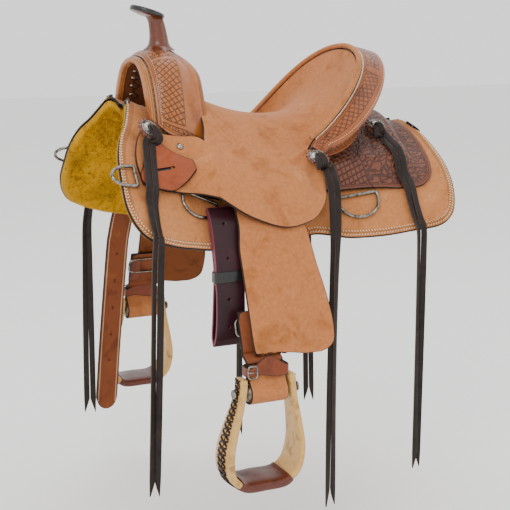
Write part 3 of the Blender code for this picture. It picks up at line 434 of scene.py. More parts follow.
# Bridle leather, dyed through and waxed: black with a clear shine. Also used as painted shade: under the
# keeper's slot and on the skirts' inner faces.
BLACK_AND_SHADE = Leather("black_bridle_leather", "151313", "0c0b0b", "232020", edge="0a0909", roughness=0.36,
                gloss=0.35)
# Alum-tanned and greased: nearly black in the light, with red where it is cut.
LATIGO = Leather("burgundy_latigo", "280911", "1a060b", "37111b", edge="6e2e3a", roughness=0.45, gloss=0.08,
                 edge_mm=1.3, shine=0.3)
# Thin lace, oiled and handled: brown-black with paler worn edges.
LACE = Leather("dark_oiled_lace", "1f1613", "120d0b", "2e221d", edge="4a3a30", roughness=0.55, patch_mm=30.0,
               edge_mm=0.9, shine=0.25)
# Waxed and rubbed by boots: dark, with a low shine.
TREAD = Leather("waxed_tread_leather", "541f0b", "381205", "703216", edge="1c0b06", roughness=0.4, gloss=0.25,
                patch_mm=25.0)
# Dried hard on the wood and varnished: cream with amber patches.
RAWHIDE = Leather("varnished_rawhide", "c89b55", "8f6428", "dab878", edge="8a6a3c", roughness=0.42, gloss=0.2,
                  patch_mm=26.0)
# Narrow thong, dyed maroon and waxed: a dark zigzag on the pale rawhide.
THONG = Leather("maroon_thong", "230907", "160504", "33110f", roughness=0.45, shine=0.3)
# Linen thread, waxed: small pale dashes.
THREAD = Leather("waxed_linen_thread", "efd9b4", "dcc095", "f6e8cd", roughness=0.7)
# Sheepskin, dyed gold: matt and deep, with painted shade at its roots.
FLEECE = Wool("golden_fleece", "b48200", "664200", "cf9f06")
# Nickel plate, polished: darkened as painted dark reflections, with grey patches that are partly marks of use
# and partly painted reflections.
NICKEL = Metal("polished_nickel", "8e8a82", "4e4a45", roughness=0.16)
# Cast and engraved: bright high spots and black hollows.
SILVER = Metal("engraved_silver", "aaa69e", "2e2b28", roughness=0.26, engraved=True)
# Bare steel, turned: greyer and duller than the plate.
STEEL = Metal("bright_steel", "8f8c85", "5e5b55", roughness=0.32)
# Sawn pine, bare: pale, with darker rings.
PINE = Timber("bare_pine", "c2a274", "a5804f")


# Curves and the form


def smooth(t: Points) -> Points:
    """An ease from 0 to 1."""
    t = np.clip(t, 0.0, 1.0)
    return t * t * (3.0 - 2.0 * t)


def hermite(a: Points, b: Points, da: Points, db: Points, u: Points) -> Points:
    """A cubic between two values with their slopes."""
    return ((2 * u**3 - 3 * u**2 + 1) * a + (u**3 - 2 * u**2 + u) * da + (-2 * u**3 + 3 * u**2) * b
            + (u**3 - u**2) * db)


def table_curve(table: Sequence[Sequence[float]], at: Points) -> Points:
    """Read a smooth curve through a table at many places.

    Args:
        table: rows of place and value.
        at: the places wanted.

    Returns:
        The values.
    """
    ts, vs = (np.array([row[k] for row in table], float) for k in (0, 1))
    low, high = np.maximum(np.arange(len(ts)) - 1, 0), np.minimum(np.arange(len(ts)) + 1, len(ts) - 1)
    slope = (vs[high] - vs[low]) / (ts[high] - ts[low])
    at = np.clip(at, ts[0], ts[-1])
    i = np.clip(np.searchsorted(ts, at, side="right") - 1, 0, len(ts) - 2)
    step = ts[i + 1] - ts[i]
    return hermite(vs[i], vs[i + 1], slope[i] * step, slope[i + 1] * step, (at - ts[i]) / step)


def fair(points: Points, steps: int) -> Points:
    """Refine rows of points with a smooth curve through them.

    Args:
        points: the rows, of any shape after the first axis.
        steps: new rows for each old gap.

    Returns:
        The refined rows.
    """
    points = np.asarray(points, float)
    slope = np.gradient(points, axis=0)
    made = []
    for k in range(len(points) - 1):
        for u in np.arange(steps) / steps:
            made.append(hermite(points[k], points[k + 1], slope[k], slope[k + 1], u))
    made.append(points[-1])
    return np.array(made)


def run_along(line: Points) -> Points:
    """The length along a line at each of its points."""
    return np.concatenate([[0.0], np.cumsum(np.linalg.norm(np.diff(line, axis=0), axis=1))])


def unit_rows(ways: Points) -> Points:
    """Rows of ways, each with a length of one."""
    return ways / np.linalg.norm(ways, axis=1, keepdims=True)


def headings(line: Points) -> Points:
    """The way along a line at each of its points."""
    return unit_rows(np.gradient(line, axis=0))


def squared_turn(a: float, power: float) -> tuple[float, float]:
    """A place on a circle that a power below one squares off."""
    return tuple(math.copysign(abs(f(a)) ** power, f(a)) for f in (math.cos, math.sin))


def rounded_box(wide: float, deep: float, corner: float, step: int) -> list[tuple[float, float]]:
    """Draw a rectangle with round corners about its middle.

    Args:
        wide: half of its width.
        deep: half of its depth.
        corner: the radius of its corners.
        step: the degrees between two points of a corner.

    Returns:
        The outline, with its first point again at the end.
    """
    loop = []
    for across, down, start in ((1, 1, 0), (-1, 1, 90), (-1, -1, 180), (1, -1, 270)):
        for turn in range(start, start + 91, step):
            a = math.radians(turn)
            loop.append((across * (wide - corner) + corner * math.cos(a),
                         down * (deep - corner) + corner * math.sin(a)))
    return loop + loop[:1]


def spaced(points: Sequence[Sequence[float]], count: int, curved: bool = True) -> Points:
    """Space points evenly by length along a curve.

    Args:
        points: the curve's own points.
        count: how many to return.
        curved: whether the curve is smooth or straight between them.

    Returns:
        The spaced points.
    """
    fine = fair(np.array(points, float), 12) if curved else np.array(points, float)
    run = run_along(fine)
    wanted = np.linspace(0.0, run[-1], count)
    return np.stack([np.interp(wanted, run, fine[:, k]) for k in range(fine.shape[1])], axis=1)


@dataclass
class Form:
    """The horse's back as one surface, with the heights of the layers above it."""

    spine: tuple = ((-380, 226), (-330, 214), (-250, 176), (-150, 128), (-50, 102), (60, 92), (180, 98),
                    (280, 110), (380, 122))
    top_slope: tuple = ((-340, 50), (-150, 44), (0, 40), (180, 37), (360, 36))
    low_slope: tuple = ((-340, 53), (-150, 60), (0, 62), (180, 60), (360, 56))
    skirt: float = 5.0
    seat: float = 5.0
    jockey: float = 4.5

    def slope(self, x: Points, s: Points) -> Points:
        """The form's lean at a point, in radians."""
        top, low = table_curve(self.top_slope, x), table_curve(self.low_slope, x)
        return np.radians(top * smooth(s / 80.0) + (low - top) * smooth((s - 150.0) / 130.0))

    def at(self, x: Points, s: Points, h: Points, side: Side) -> Points:
        """Points above the form.

        Args:
            x: places along the horse.
            s: lengths down the side.
            h: heights above the form.
            side: near or off.

        Returns:
            The points, with three coordinates on the last axis.
        """
        x, s, h = np.broadcast_arrays(np.asarray(x, float), np.asarray(s, float), np.asarray(h, float))
        y, z = np.zeros_like(x), table_curve(self.spine, x)
        steps = 44
        for k in range(steps):
            lean = self.slope(x, (k + 0.5) * s / steps)
            y, z = y + np.cos(lean) * s / steps, z - np.sin(lean) * s / steps
        lean = self.slope(x, s)
        return np.stack([x, side.value * (y + np.sin(lean) * h), z + np.cos(lean) * h], axis=-1)

    @staticmethod
    def bar_top(x: Points) -> Points:
        """The height of the tree's bar."""
        return 6.4 + 24.5 * (0.3 + 0.7 * smooth((x + 205.0) / 70.0))

    def front(self, x: Points, s: Points) -> Points:
        """The underside of the front jockey.

        Args:
            x: places along the horse.
            s: lengths down the side.

        Returns:
            Its heights above the form.
        """
        low = self.skirt + 1.8
        low = low + (self.bar_top(np.array(-262.0)) + 3.1 - low) * (1.0 - smooth((s - 160.0) / 50.0))
        return low + (53.0 - low) * smooth((x + 258.0) / 84.0)

    def rear(self, x: Points, s: Points) -> Points:
        """The underside of the rear jockey.

        Args:
            x: places along the horse.
            s: lengths down the side.

        Returns:
            Its heights above the form.
        """
        low = self.skirt + 1.4 + 4.4 * (1.0 - smooth((x - 200.0) / 40.0))
        lift = (self.bar_top(x) + 3.1 - low) * (1.0 - smooth((s - 152.0) / 45.0))
        return low + lift * (1.0 - smooth((x - 264.0) / 42.0))


FORM = Form()


# The bench: meshes from points


def add_piece(
    name: str,
    points: Points,
    faces: Sequence[Sequence[int]],
    finish: Finish,
    body: str,
    nodes: Sequence[str] = (),
    slot: Optional[str] = None,
    flat: Optional[Points] = None,
    flat_shaded: bool = False,
) -> Object:
    """Make one piece, let it ride on its body and hide the frame's nodes that it replaces.

    Args:
        name: the piece's name.
        points: its points in millimetres.
        faces: its faces.
        finish: what it is made of.
        body: the body that it rides on.
        nodes: the frame's nodes that it replaces.
        slot: not used.
        flat: a flat layout in millimetres, one place for each point.
        flat_shaded: whether its faces stay crisp.

    Returns:
        The object.
    """
    mesh = bpy.data.meshes.new(name)
    mesh.from_pydata((np.asarray(points, float).reshape(-1, 3) * MM).tolist(), [],
                     [tuple(map(int, f)) for f in faces])
    if flat is not None:
        layer = mesh.uv_layers.new(name="flat")
        loops = np.empty(len(mesh.loops), np.int32)
        mesh.loops.foreach_get("vertex_index", loops)
        layer.data.foreach_set("uv", (np.asarray(flat, float).reshape(-1, 2)[loops] * MM).ravel())
    mesh.materials.append(finish.material())
    mesh.shade_flat() if flat_shaded else mesh.shade_smooth()
    piece = bpy.data.objects.new(name, mesh)
    show(piece)
    store(piece, "edge", np.full(len(mesh.vertices), WELL_INSIDE))
    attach(piece, body)
    if nodes:
        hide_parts(*nodes)
    LOG.info("%s: %d points on %s", name, len(mesh.vertices), body)
    return piece


def store(piece: Object, name: str, values: Sequence[float]) -> None:
    """Keep one number for each of a piece's points, under a name that its finish reads."""
    spot = piece.data.attributes.get(name) or piece.data.attributes.new(name, "FLOAT", "POINT")
    spot.data.foreach_set("value", np.asarray(values, np.float32).ravel())


def mark_edge(piece: Object) -> None:
    """Store each point's distance from the cut edge of an open sheet, in millimetres.

    Args:
        piece: the sheet.
    """
    shape = bmesh.new()
    shape.from_mesh(piece.data)
    rim = [v.co.copy() for v in shape.verts if v.is_boundary]
    shape.free()
    tree = KDTree(len(rim))
    for k, co in enumerate(rim):
        tree.insert(co, k)
    tree.balance()
    store(piece, "edge", [min(tree.find(v.co)[2] / MM, WELL_INSIDE) for v in piece.data.vertices])


def grid_faces(rows: int, cols: int,
               keep: Optional[Callable[[int, int], bool]] = None) -> list[tuple[int, ...]]:
    """The quads of a grid of points.

    Args:
        rows: the grid's rows.
        cols: its columns.
        keep: which cells exist, or every one.

    Returns:
        The faces.
    """
    return [
        (i * cols + j, i * cols + j + 1, (i + 1) * cols + j + 1, (i + 1) * cols + j)
        for i in range(rows - 1) for j in range(cols - 1) if keep is None or keep(i, j)
    ]


def ring_faces(rows: int, sides: int, closed: bool = False) -> list[tuple[int, ...]]:
    """The quads between rings of points, with a cap at each end unless they come round again.

    Args:
        rows: how many rings there are.
        sides: the points of one ring.
        closed: whether the last ring meets the first.

    Returns:
        The faces.
    """
    faces = []
    for i in range(rows if closed else rows - 1):
        a, b = i * sides, ((i + 1) % rows) * sides
        faces += [(a + k, a + (k + 1) % sides, b + (k + 1) % sides, b + k) for k in range(sides)]
    if not closed:
        faces += [tuple(range(sides))[::-1], tuple(range((rows - 1) * sides, rows * sides))]
    return faces


def lofted(rings: Points) -> tuple[Points, list]:
    """A closed solid's points and faces, from its rings."""
    return rings.reshape(-1, 3), ring_faces(*rings.shape[:2])


def sheet(
    name: str,
    grid: Points,
    out: Way,
    thick: float,
    finish: Finish,
    body: str,
    nodes: Sequence[str] = (),
    slot: Optional[str] = None,
    flat: Optional[Points] = None,
    keep: Optional[Callable[[int, int], bool]] = None,
    edge: float = 1.3,
    centred: bool = False,
    lining: Optional[Finish] = None,
    zones: Optional[dict[str, Points]] = None,
) -> Object:
    """A leather sheet from the grid of its outer face, with its thickness and rounded cut edges.

    Args:
        name: the piece's name.
        grid: rows and columns of points in millimetres.
        out: roughly where the outer face looks.
        thick: the leather's thickness.
        finish: what it is made of.
        body: the body that it rides on.
        nodes: the frame's nodes that it replaces.
        slot: passed on to add_piece, which does not use it.
        flat: a flat layout in millimetres.
        keep: which cells exist.
        edge: the round of the cut edge.
        centred: whether the grid is the middle of the leather.
        lining: what its inner face looks like, where that differs.
        zones: how far each kind of tooling is worked at each point, from 0 to 1.

    Returns:
        The object.
    """
    rows, cols = grid.shape[:2]
    faces = grid_faces(rows, cols, keep)
    used = sorted({v for face in faces for v in face})
    index = {v: k for k, v in enumerate(used)}
    if flat is None:
        run = [run_along(line) for line in (grid[:, cols // 2], grid[rows // 2])]
        flat = np.stack(np.meshgrid(run[0], run[1], indexing="ij"), axis=-1)
    piece = add_piece(name, grid.reshape(-1, 3)[used], [[index[v] for v in f] for f in faces], finish, body,
                      nodes, slot, flat.reshape(-1, 2)[used])
    face_out(piece, out)
    mark_edge(piece)
    for kind in ("basket", "floral"):
        values = (zones or {}).get(kind, np.zeros((rows, cols)))
        store(piece, kind, np.asarray(values, float).reshape(-1)[used])
    solid = piece.modifiers.new("thickness", "SOLIDIFY")
    if lining is not None:
        piece.data.materials.append(lining.material())
        solid.material_offset = 1
    solid.thickness = thick * MM
    solid.offset = 0.0 if centred else -1.0
    solid.use_even_offset = False
    bevel = piece.modifiers.new("cut edge", "BEVEL")
    bevel.width = edge * MM
    bevel.segments = 2
    bevel.limit_method = "ANGLE"
    bevel.angle_limit = math.radians(55)
    bevel.use_clamp_overlap = True
    return piece


def face_out(piece: Object, out: Way) -> None:
    """Turn a sheet's faces so that most of them look one way.

    Args:
        piece: the sheet.
        out: roughly where they should look.
    """
    way = Vector(out)
    total = sum((p.normal.dot(way) * p.area for p in piece.data.polygons), 0.0)
    if total < 0:
        piece.data.flip_normals()


def tube(
    name: str, path: Points, radius: Union[float, Points], finish: Finish, body: str,
    nodes: Sequence[str] = (), slot: Optional[str] = None, sides: int = 12, closed: bool = False,
) -> Object:
    """A round bar or cord along a path.

    Args:
        name: the piece's name.
        path: its centre line in millimetres.
        radius: one radius, or one for each point.
        finish: what it is made of.
        body: the body that it rides on.
        nodes: the frame's nodes that it replaces.
        slot: passed on to add_piece, which does not use it.
        sides: points round it.
        closed: whether the path is a loop.

    Returns:
        The object.
    """
    return add_piece(name, *tube_shape(path, radius, sides, closed), finish, body, nodes, slot)


def tube_shape(
    path: Points, radius: Union[float, Points], sides: int, closed: bool, squash: float = 1.0
) -> tuple[Points, list]:
    """Work out a tube along a path.

    Args:
        path: its centre line in millimetres.
        radius: one radius, or one for each point.
        sides: points round it.
        closed: whether the path is a loop.
        squash: its thickness across the second way, as a share.

    Returns:
        The points and faces.
    """
    path = np.asarray(path, float)
    n = len(path)
    ahead = np.roll(path, -1, axis=0) if closed else np.vstack([path[1:], path[-1]])
    back = np.roll(path, 1, axis=0) if closed else np.vstack([path[0], path[:-1]])
    ways = unit_rows(ahead - back)
    radii = np.broadcast_to(np.asarray(radius, float), (n,))
    across = np.array(Vector(ways[0]).orthogonal().normalized())
    points, turns = [], np.linspace(0.0, math.tau, sides, endpoint=False)
    for k in range(n):
        across = across - ways[k] * across.dot(ways[k])
        across /= np.linalg.norm(across)
        other = np.cross(ways[k], across)
        points += [path[k] + (across * math.cos(a) + other * squash * math.sin(a)) * radii[k] for a in turns]
    return np.array(points), ring_faces(n, sides, closed)


def face_outward(mesh: Mesh) -> None:
    """Turn a closed mesh's faces outwards.

    Args:
        mesh: the mesh.
    """
    shape = bmesh.new()
    shape.from_mesh(mesh)
    bmesh.ops.recalc_face_normals(shape, faces=shape.faces)
    shape.to_mesh(mesh)
    shape.free()


def join(shapes: Sequence[tuple[Points, list]]) -> tuple[Points, list]:
    """Put several shapes into one.

    Args:
        shapes: each shape's points and faces.

    Returns:
        All the points, and all the faces.
    """
    points, faces, base = [], [], 0
    for own, sides in shapes:
        points.append(np.asarray(own, float).reshape(-1, 3))
        faces += [tuple(v + base for v in face) for face in sides]
        base += len(points[-1])
    return np.concatenate(points), faces


def turned_shape(
    profile: Sequence[tuple[float, float]], at: Points, axis: Points, sides: int = 32,
    wave: float = 0.0, lobes: int = 0,
) -> tuple[Points, list]:
    """A turned shape, closed at both ends, whose outline may be scalloped.

    Args:
        profile: radius and height pairs.
        at: the foot of its axis.
        axis: the axis.
        sides: points round it.
        wave: how deep the scallops are, as a share of the radius.
        lobes: how many scallops there are.

    Returns:
        The points and faces.
    """
    way = Vector(axis).normalized()
    u = way.orthogonal().normalized()
    v = way.cross(u)
    points = []
    for r, h in profile:
        for k in range(sides):
            a = math.tau * k / sides
            own = r * (1.0 + wave * (abs(math.sin(lobes * a / 2)) - 0.6) * (r > 6.0)) if lobes else r
            points.append(np.array(Vector(at) + way * h + (u * math.cos(a) + v * math.sin(a)) * own))
    return np.array(points), ring_faces(len(profile), sides)


def stitch_shapes(
    path: Points, ways: Points, long: float = 4.2, gap: float = 1.6, radius: float = 0.62, slant: float = 0.0
) -> tuple[Points, list]:
    """A row of stitches or stamp marks, each a small spindle laid on the face.

    Args:
        path: the row's line in millimetres.
        ways: the face's outward way at each point.
        long: a stitch's length.
        gap: the space between two.
        radius: half of a stitch's width.
        slant: its turn on the face, in radians.

    Returns:
        The points and faces of the whole row.
    """
    run = run_along(path)
    pitch = (long + gap) if slant == 0.0 else gap + 2.2
    shapes = []
    for k in range(int(run[-1] / pitch)):
        mid = (k + 0.5) * pitch
        spots = [np.array([np.interp(v, run, path[:, c]) for c in range(3)])
                 for v in (mid - 1.0, mid, mid + 1.0)]
        up = np.array([np.interp(mid, run, ways[:, c]) for c in range(3)])
        up /= np.linalg.norm(up)
        way = spots[2] - spots[0]
        way = way - up * way.dot(up)
        way /= np.linalg.norm(way)
        side = np.cross(up, way)
        way = way * math.cos(slant) + side * math.sin(slant)
        side = np.cross(up, way)
        half = way * long / 2
        own = [spots[1] - half - up * radius * 0.6]
        for share in (-0.28, 0.28):
            mids = spots[1] + way * long * share
            own += [mids + side * radius, mids + up * radius, mids - side * radius, mids - up * radius]
        own.append(spots[1] + half - up * radius * 0.6)
        faces = [(0, 1 + (j + 1) % 4, 1 + j) for j in range(4)]
        faces += [(1 + j, 1 + (j + 1) % 4, 5 + (j + 1) % 4, 5 + j) for j in range(4)]
        faces += [(9, 5 + j, 5 + (j + 1) % 4) for j in range(4)]
        shapes.append((own, faces))
    return join(shapes)


def ways_of(grid: Points, out: Way) -> Points:
    """The ways out of a grid's face at each of its points.

    Args:
        grid: rows and columns of points.
        out: roughly where the face looks.

    Returns:
        The ways, each with a length of one.
    """
    flow = np.cross(np.gradient(grid, axis=0), np.gradient(grid, axis=1))
    flow /= np.maximum(np.linalg.norm(flow, axis=2, keepdims=True), 1e-9)
    return flow if (flow @ np.array(out)).sum() > 0 else -flow


def baked(piece: Object) -> None:
    """Apply a piece's modifiers to its mesh.

    Args:
        piece: the piece.
    """
    bpy.context.view_layer.update()
    graph = bpy.context.evaluated_depsgraph_get()
    mesh = bpy.data.meshes.new_from_object(piece.evaluated_get(graph), preserve_all_data_layers=True,
                                           depsgraph=graph)
    piece.modifiers.clear()
    piece.data = mesh


def punch(piece: Object, holes: Sequence[tuple[Points, list]]) -> None:
    """Cut closed shapes out of a piece.

    Args:
        piece: the piece.
        holes: each cutter's points and faces, in millimetres.
    """
    points, faces = join(holes)
    mesh = bpy.data.meshes.new("punch")
    mesh.from_pydata((points * MM).tolist(), [], faces)
    cutter = bpy.data.objects.new("punch", mesh)
    show(cutter)
    face_outward(mesh)
    cut = piece.modifiers.new("punch", "BOOLEAN")
    cut.operation, cut.solver, cut.object = "DIFFERENCE", "EXACT", cutter
    baked(piece)
    bpy.data.objects.remove(cutter)


# Sub-assemblies


@dataclass
class Skirts:
    """One side's skirt, its border, its fleece and the rear jockey over it."""

    side: Side
    fleece_thick: float = 16.5
    low: tuple = ((-298, 62), (-322, 135), (-341, 176), (-354, 223), (-359, 277), (-360, 325), (-349, 362),
                  (-327, 383), (-280, 377), (-220, 357), (-160, 334), (-100, 316), (-40, 301), (0, 291),
                  (33, 285),
                  (72, 292), (103, 301), (168, 310), (235, 315), (303, 319), (337, 304), (354, 274),
                  (364, 229), (367, 160), (360, 95), (345, 62))
    high: tuple = ((-292, 14), (-262, 14), (-215, 24), (-120, 30), (0, 30), (150, 30), (255, 26), (310, 14),
                   (338, 16))
    jockey_low: tuple = ((36, 152), (50, 184), (86, 201), (130, 205), (173, 210), (238, 222), (284, 228),
                         (312, 216), (326, 192), (335, 142), (332, 86), (318, 44))
    jockey_high: tuple = ((44, 112), (96, 60), (156, 34), (220, 26), (270, 24), (302, 26))
    tufts: int = 12000

    @staticmethod
    def dip(x: Points, s: Points) -> Points:
        """How far the skirts sag between the bars in front."""
        return 32.0 * (1.0 - smooth(s / 82.0)) * (1.0 - smooth((x + 288.0) / 80.0))

    def plan(self, low: Sequence, high: Sequence, rows: int, cols: int) -> Points:
        """Lay a grid of places on the form between two outlines.

        Args:
            low: the lower outline's points.
            high: the upper outline's points.
            rows: the grid's rows, along the outlines.
            cols: its columns, finer near the upper outline.

        Returns:
            The places, each an x and an s.
        """
        a, b = spaced(low, rows)[:, None], spaced(high, rows)[:, None]
        k = (1.0 - (1.0 - np.linspace(0.0, 1.0, cols)) ** 1.25)[None, :, None]
        return a + (b - a) * k

    def build(self) -> None:
        """Make the side's pieces."""
        word, out = self.side.word, (0.0, 0.6 * self.side.value, 0.8)
        plan = self.plan(self.low, self.high, 240, 56)
        x, s = plan[..., 0], plan[..., 1]
        wave = np.array([[0.7 * fractal(Vector((a / 90, b / 90, self.side.value * 3.1)), 1.0, 2.0, 3)
                          for a, b in row] for row in plan])
        grid = FORM.at(x, s, FORM.skirt - self.dip(x, s) + wave, self.side)
        # The skirt's inner face is black: painted shade under its edge, where it overhangs the fleece.
        sheet(f"skirt_{word}_hide", grid, out, FORM.skirt, SKIRTING, "saddle", [f"skirt_{word}"], flat=plan,
              lining=BLACK_AND_SHADE)
        self.border(grid, out, word)
        self.fleece(word)
        plan = self.plan(self.jockey_low, self.jockey_high, 150, 60)
        x, s = plan[..., 0], plan[..., 1]
        grid = FORM.at(x, s, FORM.rear(x, s) + FORM.jockey, self.side)
        basket = smooth((158.0 - x + 0.25 * (s - 120.0)) / 7.0)
        sheet(f"rear_jockey_{word}_hide", grid, out, FORM.jockey, JOCKEY, "saddle", [f"rear_jockey_{word}"],
              flat=plan, zones={"basket": basket, "floral": 1.0 - basket})

    def border(self, grid: Points, out: Way, word: str) -> None:
        """Stitch two rows along the skirt's lower edge, slanted against each other.

        Args:
            grid: the skirt's outer face.
            out: roughly where it looks.
            word: the side's word.
        """
        ways = ways_of(grid, out)
        run = np.linalg.norm(np.diff(grid[:, :14], axis=1), axis=2)
        depth = np.concatenate([np.zeros((len(grid), 1)), np.cumsum(run, axis=1)], axis=1)
        rows = []
        for far, slant in ((6.2, 0.75), (13.6, -0.75)):
            line, up = [], []
            for k in range(2, len(grid) - 2):
                line.append([np.interp(far, depth[k], grid[k, :14, c]) for c in range(3)])
                up.append([np.interp(far, depth[k], ways[k, :14, c]) for c in range(3)])
            rows.append(stitch_shapes(np.array(line), np.array(up), 5.4, 4.0, 0.85, slant))
        add_piece(f"skirt_{word}_stitching", *join(rows), THREAD, "saddle", slot=f"skirt_{word}")

    def fleece(self, word: str) -> None:
        """The sheepskin under the skirt: a thick pad with locks, and tufts that break its outline.

        Args:
            word: the side's word.
        """
        low = [(x, s - 3.5) for x, s in self.low]
        plan = self.plan(low, self.high, 170, 70)
        x, s = plan[..., 0], plan[..., 1]
        dip = self.dip(x, s)
        rows, cols = x.shape
        i, j = np.meshgrid(np.arange(rows), np.arange(cols), indexing="ij")
        near = np.minimum(np.minimum(i, rows - 1 - i) * 7.0, np.minimum(j, cols - 1 - j) * 4.6)
        rounding = np.sqrt(np.clip(1.0 - (1.0 - np.clip(near / 15.0, 0, 1)) ** 2, 0, 1))
        bumps = np.array([[fractal(Vector((a / 19, b / 19, 4.0 + self.side.value)), 0.9, 2.1, 4)
                           for a, b in row] for row in plan])
        top = FORM.at(x, s, -4.2 - 1.15 * dip, self.side)
        low_face = FORM.at(x, s, -5.2 - dip - (self.fleece_thick - 2.5 + 2.6 * bumps) * rounding, self.side)
        size = rows * cols
        faces = grid_faces(rows, cols)
        faces += [tuple(v + size for v in face[::-1]) for face in grid_faces(rows, cols)]
        places = np.arange(size).reshape(rows, cols)
        ring = [*places[0], *places[1:, -1], *places[-1, -2::-1], *places[-2:0:-1, 0]]
        faces += [(a, a + size, b + size, b) for a, b in zip(ring, ring[1:] + ring[:1])]
        pad = add_piece(f"fleece_{word}_pad", np.concatenate([top.reshape(-1, 3), low_face.reshape(-1, 3)]),
                        faces, FLEECE, "saddle", [f"fleece_{word}"])
        face_outward(pad.data)
        draw = np.random.default_rng(11 + self.side.value)
        ways = ways_of(low_face, (0.0, -0.5 * self.side.value, -0.8))
        shapes = []
        for _ in range(self.tufts):
            r, c = draw.integers(3, rows - 3), draw.integers(3, cols - 2)
            foot, up = low_face[r, c] + draw.normal(0.0, 1.2, 3) * 0.5, ways[r, c]
            down = low_face[r, c - 2] - low_face[r, c]
            way = up * 0.34 + down / np.linalg.norm(down) + draw.normal(0.0, 0.38, 3)
            way /= np.linalg.norm(way)
            side = np.cross(way, up)
            side /= np.linalg.norm(side)
            other, wide, long = np.cross(way, side), draw.uniform(0.8, 1.6), draw.uniform(5.0, 10.0)
            own = [foot - way * 1.0 + side * wide, foot - way * 1.0 - side * wide,
                   foot + way * long * 0.5 + other * 1.1, foot + way * long]
            shapes.append((own, [(0, 2, 1), (0, 1, 3), (1, 2, 3), (2, 0, 3)]))
        add_piece(f"fleece_{word}_tufts", *join(shapes), FLEECE, "saddle", slot=f"fleece_{word}",
                  flat_shaded=True)


